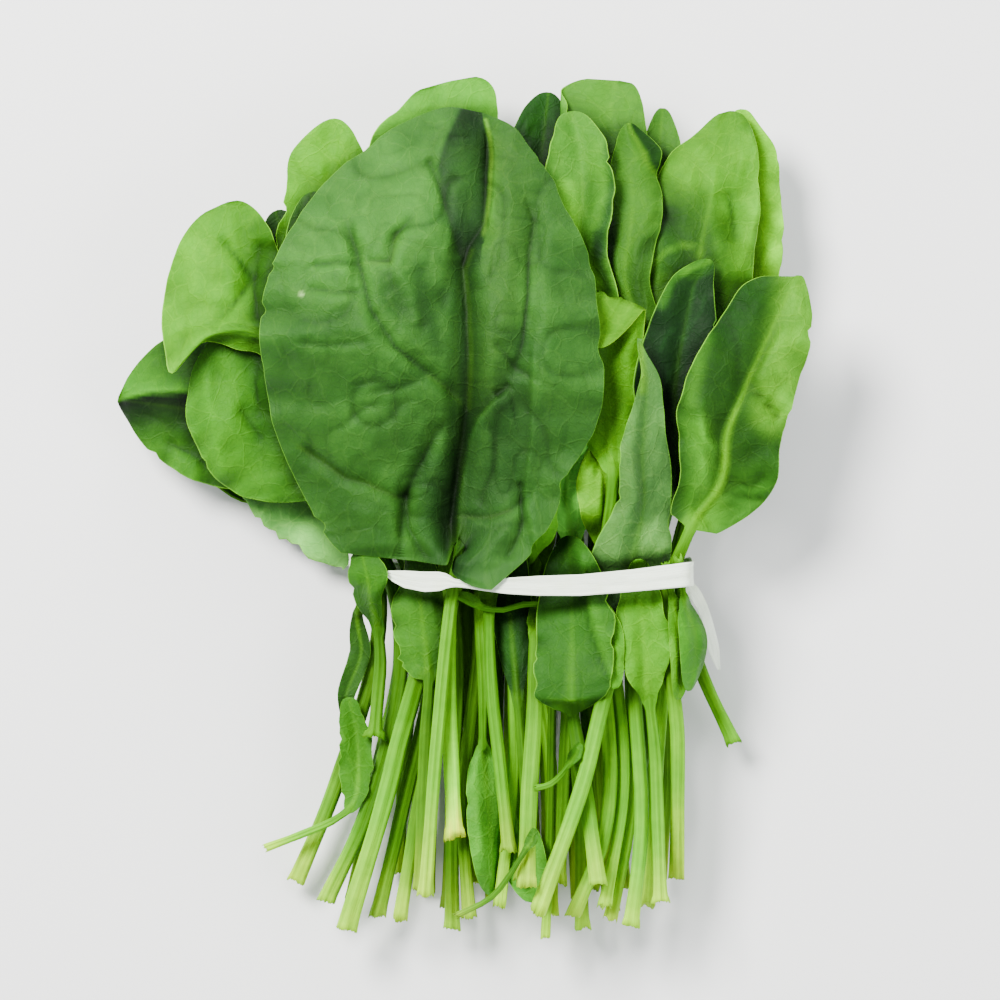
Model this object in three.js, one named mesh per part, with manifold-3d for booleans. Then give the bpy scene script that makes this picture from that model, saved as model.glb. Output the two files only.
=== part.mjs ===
// A bunch of spinach held by one flat tape, lying on its back on a surface.
// Units are millimetres and +Z is up. The blades point to +Y and the cut stalks to -Y.
// Each leaf is one closed piece: its stalk runs on as the midrib of a thin blade.
// Leaves are laid one by one from the lowest to the topmost, and each is bent up
// wherever it would touch what already lies under it.
import * as THREE from "three";
import { mergeVertices } from "three/addons/utils/BufferGeometryUtils.js";
import Module from "manifold-3d";

// ---------------------------------------------------------------- driving dimensions
const BLADE_HALF = 0.4; // half the thickness of a blade
const RIB_TIP = 0.6; // half-width of a midrib where it ends at the leaf's tip
const STALK_FLARE = 1.25; // a stalk's cut end against its middle
const STALK_AT_TIE = 0.95;
const STALK_AT_BLADE = 0.7;
const CLEARANCE = 0.55; // air between two leaves laid on each other
const CELL = 1.5; // grid step of the height field
const FIELD = { left: -150, right: 150, bottom: -175, top: 175 };
const CENTRE_SHIFT = [0, 1]; // brings the middle of the bunch over the origin

// The pile of leaves from the cut ends to the tips: y, and there the height of the lowest and
// of the topmost leaf's midline before they are laid on each other.
const PILE = [
  [-145, 4, 24],
  [-90, 7, 27],
  [-28, 12, 30],
  [15, 12, 58],
  [65, 5, 80],
  [140, 14, 60],
];
const PILE_MIDDLE_X = 10;
const SIDE_DROOP = 0.0014; // the head's sides hang lower, by this times the squared distance

const TAPE = {
  width: 8.4,
  thickness: 0.8,
  centreX: 20,
  halfSpan: 60,
  midHeight: 26,
  bottomDrop: 17.5,
  squareness: 2.6,
  lowY: -28,
  bend: 0.0022,
  stepsBelow: 18,
  longestStep: 9, // above, so that the tape follows its bend
};

// ---------------------------------------------------------------- leaf forms
// bulge < 1 moves the widest point toward the base; base and tip give how blunt each end is,
// as [left, right], and 0 would be square.
const BROAD = { bulge: 0.82, base: [0.5, 0.5], tip: [0.48, 0.48] };
const ROUND = { bulge: 1.0, base: [0.62, 0.62], tip: [0.42, 0.42] };
const OVAL = { bulge: 1.0, base: [0.85, 0.85], tip: [0.52, 0.52] };
const SPOON = { bulge: 1.4, base: [0.9, 0.9], tip: [0.48, 0.48] };
const POINTED = { bulge: 0.95, base: [0.55, 0.55], tip: [0.8, 0.42] };
const BLUNT = { bulge: 0.9, base: [0.5, 0.5], tip: [0.16, 0.45] };
const FRONT = { bulge: 0.85, base: [0.33, 0.8], tip: [0.5, 0.72] };
const WIDE = { bulge: 1.0, base: [0.62, 0.62], tip: [0.24, 0.26] };
const HIGH = { bulge: 1.25, base: [0.9, 0.7], tip: [0.38, 0.42] };
const TALL = { bulge: 0.45, base: [0.5, 0.5], tip: [1.4, 0.8] };
const SQUARE = { bulge: 0.8, base: [0.25, 0.3], tip: [0.5, 0.5] };

const COLOURS = { light: 0x7fb34a, mid: 0x4c8a2e, dark: 0x2f6b2b, pale: 0x9cc56c, yellow: 0xa6cf3f };
const TAPE_COLOUR = 0xe8efde;

// ---------------------------------------------------------------- the leaves that show, lowest first
// path: the midline through the cut end, the stalk's knee, the tie, the blade's base, its middle
// and its tip. left and right: half-widths seen facing the tip. slope and curl: how each half
// rises from the rib. wave: height of the margin's ruffles, their number and phase.
// lobe: how far each basal lobe reaches back. rise: extra height of the six path points.
// bladeLate: the blade lies on all the others, though the stalk keeps its place in the pile.
// overTape: the leaf crosses the tape instead of being held by it.
const SHOWN_LEAVES = [
  { name: "lower_left_pale", tone: "pale", form: BROAD, stalk: 5.5, left: 16, right: 10,
    path: [[-39, -139], [-32, -103], [-25, -26], [-35, -8], [-54, 0], [-79, 10]],
    slope: [-0.1, -0.1], curl: [-0.2, -0.1], wave: [2, 2.5, 0.1], rise: [0, 0, 0, 0, -6, -6] },
  { name: "far_left", tone: "mid", form: POINTED, stalk: 6, left: 22.5, right: 35,
    path: [[-59, -133], [-45, -99], [-31, -23], [-51, 16], [-87, 31], [-121, 37]],
    slope: [0, 0], curl: [-0.25, -0.3], wave: [2, 1.5, 0.3] },
  { name: "top_dark", tone: "dark", form: OVAL, stalk: 8.5, left: 17.5, right: 16,
    path: [[6, -132], [4, -82], [2, -27], [16, 30], [24, 90], [30, 145]],
    slope: [0.1, 0.1], curl: [-0.1, -0.1], wave: [2, 2, 0.6] },
  { name: "left_dark", tone: "dark", form: OVAL, stalk: 5.5, left: 12.5, right: 12,
    path: [[-4, -149], [-4, -113], [-6, -27], [-32, 27], [-57, 72], [-66, 103]],
    slope: [0.1, 0.1], curl: [0, 0], wave: [2, 2, 0.2] },
  { name: "right_back", tone: "light", form: OVAL, stalk: 5, left: 13.5, right: 11,
    path: [[95, -83], [84, -59], [75, -22], [91, 30], [100, 86], [101, 138]],
    slope: [0.1, -0.1], curl: [0, -0.2], wave: [2, 2, 0.8] },
  { name: "top_small", tone: "mid", form: OVAL, stalk: 4.5, left: 8.5, right: 10,
    path: [[70, -132], [72, -103], [69, -27], [65, 37], [67, 93], [70, 139]],
    slope: [0.1, 0.1], curl: [0, 0], wave: [1.5, 2, 0.3] },
  { name: "top_pale", tone: "light", form: WIDE, stalk: 5, left: 30, right: 22.5,
    path: [[2, -144], [0, -113], [5, -27], [-9, 30], [-9, 90], [-5, 150]],
    slope: [0, 0], curl: [-0.15, -0.15], wave: [2.5, 2, 0.5] },
  { name: "top_fold", tone: "mid", form: WIDE, stalk: 5, left: 19, right: 14,
    path: [[42, -149], [41, -103], [33, -27], [44, 30], [50, 90], [54, 149]],
    slope: [0.1, 0.1], curl: [-0.1, -0.2], wave: [2, 2, 0.9] },
  { name: "upper_left", tone: "light", form: OVAL, stalk: 5.5, left: 20.5, right: 17,
    path: [[-30, -144], [-22, -110], [-9, -29], [-27, 30], [-44, 85], [-46, 135]],
    slope: [0.15, 0.1], curl: [-0.1, -0.1], wave: [2.5, 2, 0] },
  { name: "inner_right", tone: "mid", form: OVAL, stalk: 4.5, left: 12.5, right: 10.5,
    path: [[62, -132], [64, -103], [65, -27], [73, 27], [77, 58], [78, 91]],
    slope: [0.1, 0.1], curl: [0, 0], wave: [1.5, 2, 0.3] },
  { name: "upper_right", tone: "light", form: ROUND, stalk: 6.5, left: 23, right: 18,
    path: [[45, -134], [62, -92], [65, -29], [79, 30], [82, 83], [94, 138]],
    slope: [0, -0.05], curl: [-0.22, -0.3], wave: [2, 2, 0.2], rise: [0, 0, 0, 0, 4, 0] },
  { name: "left_narrow", tone: "dark", form: OVAL, stalk: 5, left: 14.5, right: 14.5,
    path: [[-22, -144], [-17, -113], [-6, -29], [-32, 30], [-48, 72], [-53, 109]],
    slope: [0.2, 0.2], curl: [0, 0], wave: [2, 2, 0.7] },
  { name: "upper_roll", tone: "mid", form: OVAL, stalk: 5, left: 9, right: 9.5,
    path: [[52, -145], [57, -120], [59, -29], [63, 30], [59, 90], [58, 133]],
    slope: [0.1, -0.1], curl: [-0.6, -0.6], wave: [1, 2, 0.7], rise: [0, 0, 0, 0, 2, 2] },
  { name: "upper_cup", tone: "light", form: SPOON, stalk: 5, left: 14, right: 11,
    path: [[31, -143], [31, -96], [24, -29], [48, 37], [43, 93], [40, 138]],
    slope: [0.35, 0.45], curl: [0.1, 0.1], wave: [1, 2, 0.4], rise: [0, 0, 0, 0, 2, 2] },
  { name: "left_low", tone: "mid", form: ROUND, stalk: 6, left: 26.5, right: 23,
    path: [[-48, -139], [-35, -111], [-27, -23], [-46, 5], [-68, 30], [-88, 54]],
    slope: [0, 0], curl: [-0.3, -0.25], wave: [2.5, 2, 0] },
  { name: "left_high", tone: "light", form: HIGH, stalk: 7, left: 28, right: 17.5,
    path: [[-41, -149], [-24, -90], [-14, -29], [-49, 20], [-75, 62], [-83, 105]],
    slope: [0, -0.1], curl: [-0.25, -0.3], wave: [2.5, 1.5, 0.6], rise: [0, 0, 0, 0, 4, 2] },
  { name: "thin_end", tone: "yellow", form: OVAL, stalk: 3.5, left: 5.5, right: 5.5,
    path: [[29, -152], [30, -131], [31, -89], [29, -19], [26, -5], [24, 13]],
    slope: [0.1, 0.1], curl: [0, 0], wave: [1, 2, 0.4] },
  { name: "yellow_under", tone: "yellow", form: OVAL, stalk: 5, left: 11, right: 11,
    path: [[65, -139], [68, -96], [68, -27], [56, 6], [52, 34], [56, 64]],
    slope: [0.1, 0.1], curl: [-0.2, -0.2], wave: [1, 2, 0.4], rise: [0, 0, 0, 0, -8, -8] },
  { name: "blade_low", tone: "mid", form: ROUND, stalk: 4, left: 6.5, right: 7,
    path: [[5, -24], [6, -47], [7, -68], [7, -86], [9, -110], [11, -138]],
    slope: [0.1, 0.1], curl: [-0.2, -0.2], wave: [1, 1.5, 0.4] },
  { name: "curl_low", tone: "mid", form: ROUND, stalk: 3, left: 7.5, right: 7,
    path: [[19, -26], [20, -61], [21, -89], [20, -110], [21, -124], [25, -140]],
    slope: [0.3, 0.3], curl: [-0.1, -0.1], wave: [1.5, 2, 0.1] },
  { name: "shade_mid", tone: "mid", form: OVAL, stalk: 4.5, left: 9, right: 10,
    path: [[34, -131], [35, -103], [38, -27], [38, -13], [36, 6], [42, 26]],
    slope: [0.2, 0.2], curl: [-0.2, -0.2], wave: [1.5, 2, 0.1], rise: [0, 0, 0, 0, -8, -8] },
  { name: "shade_left", tone: "mid", form: OVAL, stalk: 4.5, left: 10.5, right: 9,
    path: [[13, -139], [17, -103], [20, -29], [22, -19], [24, -5], [30, 13]],
    slope: [0.2, 0.2], curl: [-0.2, -0.2], wave: [1.5, 2, 0.1], rise: [0, 0, 0, 0, -8, -8] },
  { name: "small_bright", tone: "yellow", form: ROUND, stalk: 4.5, left: 7.5, right: 7.5,
    path: [[50, -139], [56, -103], [50, -29], [49, -13], [48, 4], [48, 22]],
    slope: [0.1, 0.1], curl: [-0.3, -0.3], wave: [1, 2, 0.6], rise: [0, 0, 0, 0, -6, -6] },
  { name: "yellow_young", tone: "yellow", form: ROUND, stalk: 5.5, left: 11.5, right: 11,
    path: [[39, -143], [48, -120], [48, -29], [52, 13], [50, 41], [55, 75]],
    slope: [0.1, 0.1], curl: [-0.2, -0.3], wave: [1, 2, 0.3], rise: [0, 0, 0, 0, -4, 0] },
  { name: "right_dark", tone: "dark", form: OVAL, stalk: 5.5, left: 13.5, right: 11.5,
    path: [[59, -146], [62, -120], [62, -29], [72, 2], [74, 43], [82, 86]],
    slope: [0.15, 0.15], curl: [0, -0.1], wave: [1.5, 2.5, 0.1] },
  { name: "blade_centre", tone: "mid", form: SQUARE, bladeLate: true, stalk: 6, left: 11.5, right: 13.5,
    path: [[47, -131], [43, -103], [40, -84], [38, -70], [38, -44], [37, -11]],
    slope: [0.1, 0.1], curl: [-0.15, -0.15], wave: [1, 1.5, 0.1], lobe: [3, 3] },
  { name: "centre_right", tone: "dark", form: TALL, stalk: 6, left: 14, right: 12.5,
    path: [[27, -139], [42, -96], [50, -64], [56, -45], [61, 2], [65, 59]],
    slope: [0, -0.05], curl: [-0.15, -0.2], wave: [1.5, 2, 0.4], lobe: [6, 6],
    rise: [0, 0, 0, 0, 0, 2] },
  { name: "right_large", tone: "light", form: BLUNT, stalk: 5.5, left: 19, right: 17,
    path: [[75, -131], [75, -82], [72, -27], [80, -6], [96, 36], [116, 80]],
    slope: [0.25, 0.2], curl: [-0.3, -0.3], wave: [2.5, 2, 0.2], lobe: [6, 6],
    rise: [0, 0, 0, 0, 6, 0] },
  { name: "blade_narrow", tone: "dark", form: OVAL, stalk: 4, left: 5.5, right: 7,
    path: [[20, -131], [22, -106], [21, -92], [19, -68], [16, -33], [13, 9]],
    slope: [0.1, 0.1], curl: [-0.1, -0.1], wave: [1, 1.5, 0] },
  { name: "left_tag", tone: "dark", form: OVAL, stalk: 3, left: 4, right: 3.5,
    path: [[-30, -12], [-33, -22], [-35, -31], [-37, -38], [-40, -54], [-42, -75]],
    slope: [0.2, 0.2], curl: [0, 0], wave: [1, 1, 0] },
  { name: "torn_left", tone: "mid", form: BROAD, stalk: 5, left: 10.5, right: 10,
    path: [[-15, -134], [-14, -103], [-13, -80], [-12, -59], [-14, -43], [-16, -15]],
    slope: [0.1, 0.1], curl: [-0.3, -0.3], wave: [2, 3, 0.2], lobe: [3, 3] },
  { name: "blade_right", tone: "light", form: OVAL, stalk: 5, left: 9, right: 8.5,
    path: [[69, -138], [68, -110], [67, -85], [65, -68], [63, -47], [61, -19]],
    slope: [0.15, 0.1], curl: [-0.2, -0.2], wave: [1.2, 2, 0.2] },
  { name: "tag_right", tone: "light", form: OVAL, stalk: 3, left: 4, right: 3.5,
    path: [[71, -21], [72, -25], [72, -29], [73, -33], [76, -48], [75, -68]],
    slope: [0.2, 0.2], curl: [0, 0], wave: [0.6, 1, 0] },
  { name: "tag_outer", tone: "dark", form: OVAL, stalk: 3, left: 3.5, right: 5,
    path: [[75, -20], [76, -24], [76, -28], [77, -33], [81, -47], [79, -65]],
    slope: [0.2, 0.2], curl: [0, 0], wave: [0.6, 1, 0] },
  { name: "curl_left", tone: "mid", form: ROUND, stalk: 3, left: 6.5, right: 5,
    path: [[-69, -121], [-56, -116], [-45, -111], [-40, -107], [-37, -89], [-40, -68]],
    slope: [0.4, 0.3], curl: [0, 0], wave: [1, 1.5, 0.3] },
  { name: "tag_centre", tone: "light", form: OVAL, stalk: 3, left: 5, right: 4.5,
    path: [[44, -23], [45, -26], [46, -28], [47, -32], [50, -47], [53, -64]],
    slope: [0, 0], curl: [-0.2, -0.2], wave: [0.6, 1, 0] },
  { name: "mid_stalk", tone: "light", form: OVAL, stalk: 6, left: 4, right: 4,
    path: [[-3, -114], [-4, -92], [-5, -64], [-4, -33], [-3, -17], [0, 2]],
    slope: [0.1, 0.1], curl: [0, 0], wave: [1, 2, 0.4] },
  { name: "inner_stalk", tone: "light", form: OVAL, stalk: 5, left: 4, right: 4,
    path: [[16, -120], [13, -92], [10, -64], [9, -36], [9, -19], [10, 2]],
    slope: [0.1, 0.1], curl: [0, 0], wave: [1, 2, 0.4] },
  { name: "front_stalk", tone: "light", form: ROUND, stalk: 6.5, left: 3, right: 3,
    path: [[22, -130], [23, -103], [25, -71], [26, -44], [27, -39], [26, -33]],
    slope: [0.1, 0.1], curl: [0, 0], wave: [0.5, 2, 0.4] },
  { name: "thin_stem", tone: "mid", form: OVAL, stalk: 3, left: 1.5, right: 1.5,
    path: [[-1, -142], [10, -136], [17, -127], [22, -119], [24, -116], [25, -112]],
    slope: [0.1, 0.1], curl: [0, 0], wave: [0.3, 1, 0.4] },
  { name: "cross_stem", tone: "light", form: OVAL, stalk: 3, left: 1.5, right: 1.5,
    path: [[28, -35], [21, -35], [13, -37], [7, -36], [2, -33], [-3, -31]],
    slope: [0.1, 0.1], curl: [0, 0], wave: [0.3, 1, 0.4] },
  { name: "cross_low", tone: "mid", form: OVAL, stalk: 3, left: 1.5, right: 1.5,
    path: [[26, -98], [30, -97], [34, -94], [37, -90], [39, -87], [41, -83]],
    slope: [0.1, 0.1], curl: [0, 0], wave: [0.3, 1, 0.4] },
  { name: "left_drop", tone: "mid", form: SPOON, overTape: true, stalk: 5, left: 8, right: 7.5,
    path: [[-31, -80], [-30, -68], [-29, -55], [-30, -43], [-33, -30], [-35, -16]],
    slope: [0.2, 0.2], curl: [-0.1, -0.1], wave: [1, 1.5, 0.2] },
  { name: "front_large", tone: "dark", form: FRONT, overTape: true, stalk: 5, left: 66.5, right: 50,
    path: [[-13, -135], [-9, -83], [-4, -33], [-1, -12], [-2, 62], [7, 139]],
    slope: [0.22, 0.2], curl: [-0.32, -0.36], wave: [3, 2, 0.15], lobe: [17, 26],
    rise: [0, 0, 0, 0, 2, -4] },
];

// ---------------------------------------------------------------- the leaves underneath, by rule
const UNDER = {
  count: 13,
  seed: 20261123,
  centre: [13, -19], // where the fan of blades springs from
  fan: [-66, 54], // degrees from +Y
  reach: 165,
  shortenLeft: 0.0048, // millimetres per square degree
  shortenRight: 0.012,
  tieSpread: 38, // half the width that their stalks take up at the tie
  pressed: 3, // how many of the lowest lie on the surface, and how far they would sink into it
  sink: [-3, 0, 0, -5, -16, -13],
};

function seededRandom(seed) {
  let state = seed;
  return (low, high) => {
    state = (Math.imul(state, 1664525) + 1013904223) >>> 0;
    return low + ((high - low) * state) / 4294967296;
  };
}

function underLeaves() {
  const random = seededRandom(UNDER.seed);
  const leaves = [];
  for (let k = 0; k < UNDER.count; k += 1) {
    const place = ((k * 5) % UNDER.count) / (UNDER.count - 1);
    const degrees = UNDER.fan[0] + (UNDER.fan[1] - UNDER.fan[0]) * place + random(-4, 4);
    const angle = (degrees * Math.PI) / 180;
    const shorten = degrees > 0 ? UNDER.shortenRight : UNDER.shortenLeft;
    const reach = (UNDER.reach - shorten * degrees * degrees) * random(0.86, 0.95);
    const out = (share) => [
      UNDER.centre[0] + Math.sin(angle) * reach * share,
      UNDER.centre[1] + Math.cos(angle) * reach * share,
    ];
    const tieX = TAPE.centreX + (degrees / 66) * UNDER.tieSpread;
    const cutX = 14 + (tieX - 14) * random(1.1, 1.3);
    const cutY = random(-145, -126);
    leaves.push({
      name: `leaf_under_${String(k + 1).padStart(2, "0")}`,
      tone: k % 3 === 1 ? "light" : "mid",
      form: ROUND,
      stalk: random(4.5, 6.5),
      left: random(16, 21),
      right: random(16, 21),
      path: [[cutX, cutY], [(cutX + tieX) / 2, -88], [tieX, -28], out(random(0.4, 0.48)), out(0.7), out(1)],
      few: true,
      slope: [0.16, 0.16],
      curl: [0.1, 0.1],
      wave: [2, 2, random(0, 1)],
      rise: k < UNDER.pressed ? UNDER.sink : undefined,
    });
  }
  return leaves;
}

// ---------------------------------------------------------------- the shape of one leaf
// Rows are counted by q: 0 at the cut, 2 at the tie, 3 at the blade's base and 5 at the tip.
const STALK_ROWS = [0, 0.15, 1, 1.5, 2, 2.5, 3];
const BLADE_ROWS = [0.04, 0.14, 0.3, 0.48, 0.66, 0.81, 0.91, 0.97, 1];
const FEW_STALK_ROWS = [0, 1, 2, 3];
const FEW_BLADE_ROWS = [0.08, 0.25, 0.5, 0.75, 0.94, 1];
const SHOULDER = 1.3; // how far the last stalk row is swept back, against the stalk's radius
const TURN = 0.85; // how far a blade's rows turn square to the line from its base to its tip,
const TURN_WITHIN = 0.25; // and over how much of its length they do so
const ROUNDNESS = 0.88; // of a stalk's section: 1 would bring its edges to nothing
const RIB_TAPER = 1.3;
const LOBE_FADE = 6; // how quickly the pull of the basal lobes fades toward the tip
const RUFFLE_SPREAD = 1.5; // higher keeps the ruffles closer to the margin
const RIGHT_LAG = 0.35; // how far the right margin's ruffles lag the left's, as a share of one
const NARROW = 19; // leaves narrower than this count as narrow
const SMALL_LEAF = 40; // blades shorter than this get the shorter lists

const mix = (a, b, share) => a + (b - a) * share;
const smooth = (x) => x * x * (3 - 2 * x);

// A smooth curve through the path's points, at q, with its direction: cubic pieces that share
// their direction where they meet.
function alongPath(points, q) {
  const step = (i) => Math.hypot(points[i + 1][0] - points[i][0], points[i + 1][1] - points[i][1]);
  const chord = (i) => points[i].map((value, axis) => (points[i + 1][axis] - value) / step(i));
  const last = points.length - 1;
  const tangent = (i) => {
    if (i === 0) return chord(0);
    if (i === last) return chord(last - 1);
    const before = step(i - 1);
    const after = step(i);
    const ahead = chord(i);
    return chord(i - 1).map((value, axis) => (value * after + ahead[axis] * before) / (before + after));
  };
  const i = Math.min(Math.floor(q), last - 1);
  const f = q - i;
  const length = step(i);
  const [a, b] = [tangent(i), tangent(i + 1)];
  const value = [];
  const direction = [];
  for (let axis = 0; axis < 3; axis += 1) {
    const [p, r] = [points[i][axis], points[i + 1][axis]];
    const [u, v] = [a[axis] * length, b[axis] * length];
    value.push(
      p * (2 * f ** 3 - 3 * f ** 2 + 1) + u * (f ** 3 - 2 * f ** 2 + f)
      + r * (3 * f ** 2 - 2 * f ** 3) + v * (f ** 3 - f ** 2),
    );
    direction.push(
      p * (6 * f ** 2 - 6 * f) + u * (3 * f ** 2 - 4 * f + 1)
      + r * (6 * f - 6 * f ** 2) + v * (3 * f ** 2 - 2 * f),
    );
  }
  return { value, direction };
}

// Half-width of the stalk, or of the midrib once the blade has begun.
function ribRadius(leaf, q) {
  const radius = leaf.stalk / 2;
  if (q < 1) return radius * mix(STALK_FLARE, 1, smooth(Math.min(1, q / 0.6)));
  if (q < 2) return radius * mix(1, STALK_AT_TIE, q - 1);
  if (q < 3) return radius * mix(STALK_AT_TIE, STALK_AT_BLADE, q - 2);
  const s = (q - 3) / 2;
  return mix(RIB_TIP, radius * STALK_AT_BLADE, (1 - s) ** RIB_TAPER);
}

function bladeWidth(leaf, s, side) {
  const full = side < 0 ? leaf.left : leaf.right;
  const end = side < 0 ? 0 : 1;
  const blunt = mix(leaf.form.base[end], leaf.form.tip[end], s);
  return full * Math.sin(Math.PI * Math.min(1, s ** leaf.form.bulge)) ** blunt;
}

// Height of a leaf's midline over [x, y]. level runs from 0 for the lowest leaf to 1 for the topmost.
function pileHeight(x, y, level) {
  const next = Math.max(1, PILE.findIndex(([at]) => at > y));
  const [from, to] = [PILE[next - 1], PILE[next]];
  const share = Math.max(0, (y - from[0]) / (to[0] - from[0]));
  const [low, high] = [mix(from[1], to[1], share), mix(from[2], to[2], share)];
  const droop = y > 0 ? SIDE_DROOP * (x - PILE_MIDDLE_X) ** 2 : 0;
  return mix(low, high - droop, level);
}

// The rows of a leaf: each has its points from the left edge to the right edge, and at each
// point the half thickness.
function leafRows(leaf, level) {
  const points = leaf.path.map(([x, y], i) => [x, y, pileHeight(x, y, level) + (leaf.rise?.[i] ?? 0)]);
  const [base, tip] = [points[3], points[5]];
  const length = Math.hypot(tip[0] - base[0], tip[1] - base[1]);
  const chord = [(tip[0] - base[0]) / length, (tip[1] - base[1]) / length];
  const few = length < SMALL_LEAF || leaf.few;
  const stalkRows = few ? FEW_STALK_ROWS : STALK_ROWS;
  const bladeRows = (few ? FEW_BLADE_ROWS : BLADE_ROWS).map((s) => 3 + 2 * s);
  const columns = leaf.left + leaf.right > 44 ? 7 : 5;
  const lobe = leaf.lobe ?? [0, 0];
  const [waveHeight, waveCount, wavePhase] = leaf.wave;

  return [...stalkRows, ...bladeRows].map((q) => {
    const { value: centre, direction } = alongPath(points, q);
    const s = Math.max(0, (q - 3) / 2);
    const turn = TURN * Math.min(1, s / TURN_WITHIN);
    const size = Math.hypot(direction[0], direction[1]);
    let along = [mix(direction[0] / size, chord[0], turn), mix(direction[1] / size, chord[1], turn)];
    const scale = Math.hypot(...along);
    along = along.map((value) => value / scale);
    const side = [along[1], -along[0]];
    const rib = ribRadius(leaf, q);
    const row = [];
    for (let column = 0; column < columns; column += 1) {
      const t = (2 * column) / (columns - 1) - 1;
      const reach = Math.abs(t);
      const right = t > 0 ? 1 : 0;
      const half = s > 0 ? rib + bladeWidth(leaf, s, t) : rib;
      const width = s > 0 ? half - rib : 0;
      const swept = q === 3 ? SHOULDER * rib : lobe[right] * (1 - s) ** LOBE_FADE;
      const back = q < 3 ? 0 : swept * reach * reach;
      const phase = 2 * Math.PI * (waveCount * s + wavePhase + RIGHT_LAG * right);
      const fade = reach ** RUFFLE_SPREAD * Math.sqrt(Math.sin(Math.PI * s));
      const ruffle = s > 0 ? waveHeight * Math.sin(phase) * fade : 0;
      const lift = width * (leaf.slope[right] * reach + leaf.curl[right] * reach * reach) + ruffle;
      const round = rib * Math.sqrt(1 - ROUNDNESS * t * t);
      const thin = reach === 0 ? Math.max(BLADE_HALF, rib) : BLADE_HALF;
      row.push({
        x: centre[0] + side[0] * t * half - along[0] * back,
        y: centre[1] + side[1] * t * half - along[1] * back,
        z: centre[2] + lift,
        half: s > 0 ? thin : round,
        stalk: s === 0,
      });
    }
    return row;
  });
}

// ---------------------------------------------------------------- laying leaves on each other
// The height field keeps, for each cell seen from above, the highest point laid so far.
const fieldColumns = Math.round((FIELD.right - FIELD.left) / CELL);
const fieldRows = Math.round((FIELD.top - FIELD.bottom) / CELL);
const fieldTop = new Float64Array(fieldColumns * fieldRows).fill(-Infinity);

// The part of a triangle inside one cell, seen from above, as each corner's [x, y, z].
function clipToCell(corners, column, row) {
  const walls = [
    [0, 1, FIELD.left + column * CELL],
    [0, -1, FIELD.left + (column + 1) * CELL],
    [1, 1, FIELD.bottom + row * CELL],
    [1, -1, FIELD.bottom + (row + 1) * CELL],
  ];
  return walls.reduce((polygon, [axis, sign, wall]) => {
    const kept = [];
    polygon.forEach((point, k) => {
      const next = polygon[(k + 1) % polygon.length];
      const [from, to] = [sign * (point[axis] - wall), sign * (next[axis] - wall)];
      if (from >= 0) kept.push(point);
      if (from * to < 0) kept.push(point.map((value, i) => mix(value, next[i], from / (from - to))));
    });
    return kept;
  }, corners);
}

// Visits each cell that a triangle touches, with the part of the triangle inside it.
function visitCells(corners, visit) {
  const range = (axis, origin) => {
    const values = corners.map((point) => (point[axis] - origin) / CELL);
    return [Math.floor(Math.min(...values)), Math.floor(Math.max(...values))];
  };
  const [fromColumn, toColumn] = range(0, FIELD.left);
  const [fromRow, toRow] = range(1, FIELD.bottom);
  for (let row = fromRow; row <= toRow; row += 1) {
    for (let column = fromColumn; column <= toColumn; column += 1) {
      const polygon = clipToCell(corners, column, row);
      if (polygon.length > 0) visit(row * fieldColumns + column, polygon);
    }
  }
}

// The two triangles of every patch between rows first..last, as [row, column] corners.
function patches(rows, first, last) {
  const triangles = [];
  for (let i = first; i < last; i += 1) {
    for (let j = 0; j < rows[i].length - 1; j += 1) {
      triangles.push([[i, j], [i, j + 1], [i + 1, j + 1]], [[i, j], [i + 1, j + 1], [i + 1, j]]);
    }
  }
  return triangles;
}

const corner = (point, face) => [point.x, point.y, point.z + face * point.half];

const SINKING_PASSES = 14;
const SINKING = 0.97; // below 1, so that a leaf comes down again away from what lifts it
const FILLING_PASSES = 2; // these bridge the hollows between what lifts it
const LEAST_RISE = 0.1; // less is left out, well within the clearance

function addToField(rows, first, last) {
  for (const triangle of patches(rows, first, last)) {
    visitCells(triangle.map(([i, j]) => corner(rows[i][j], 1)), (cell, polygon) => {
      fieldTop[cell] = Math.max(fieldTop[cell], ...polygon.map((point) => point[2]));
    });
  }
}

// A leaf rises at its handles: one for each row of the stalk and one for each point of the blade.
function makeHandles(rows, first, last) {
  const handles = [];
  const newHandle = (points) => {
    const handle = { points, near: [], contacts: [], rise: 0 };
    handles.push(handle);
    return handle;
  };
  const grid = rows.map((row, i) => {
    if (i < first || i > last) return null;
    const shared = row[0].stalk ? newHandle(row) : null;
    return row.map((point) => shared ?? newHandle([point]));
  });
  grid.forEach((line, i) => line?.forEach((handle, j) => {
    const around = [grid[i - 1]?.[j], grid[i + 1]?.[j], line[j - 1], line[j + 1]];
    handle.near.push(...around.filter((other) => other && other !== handle));
  }));
  return { handles, grid };
}

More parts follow.
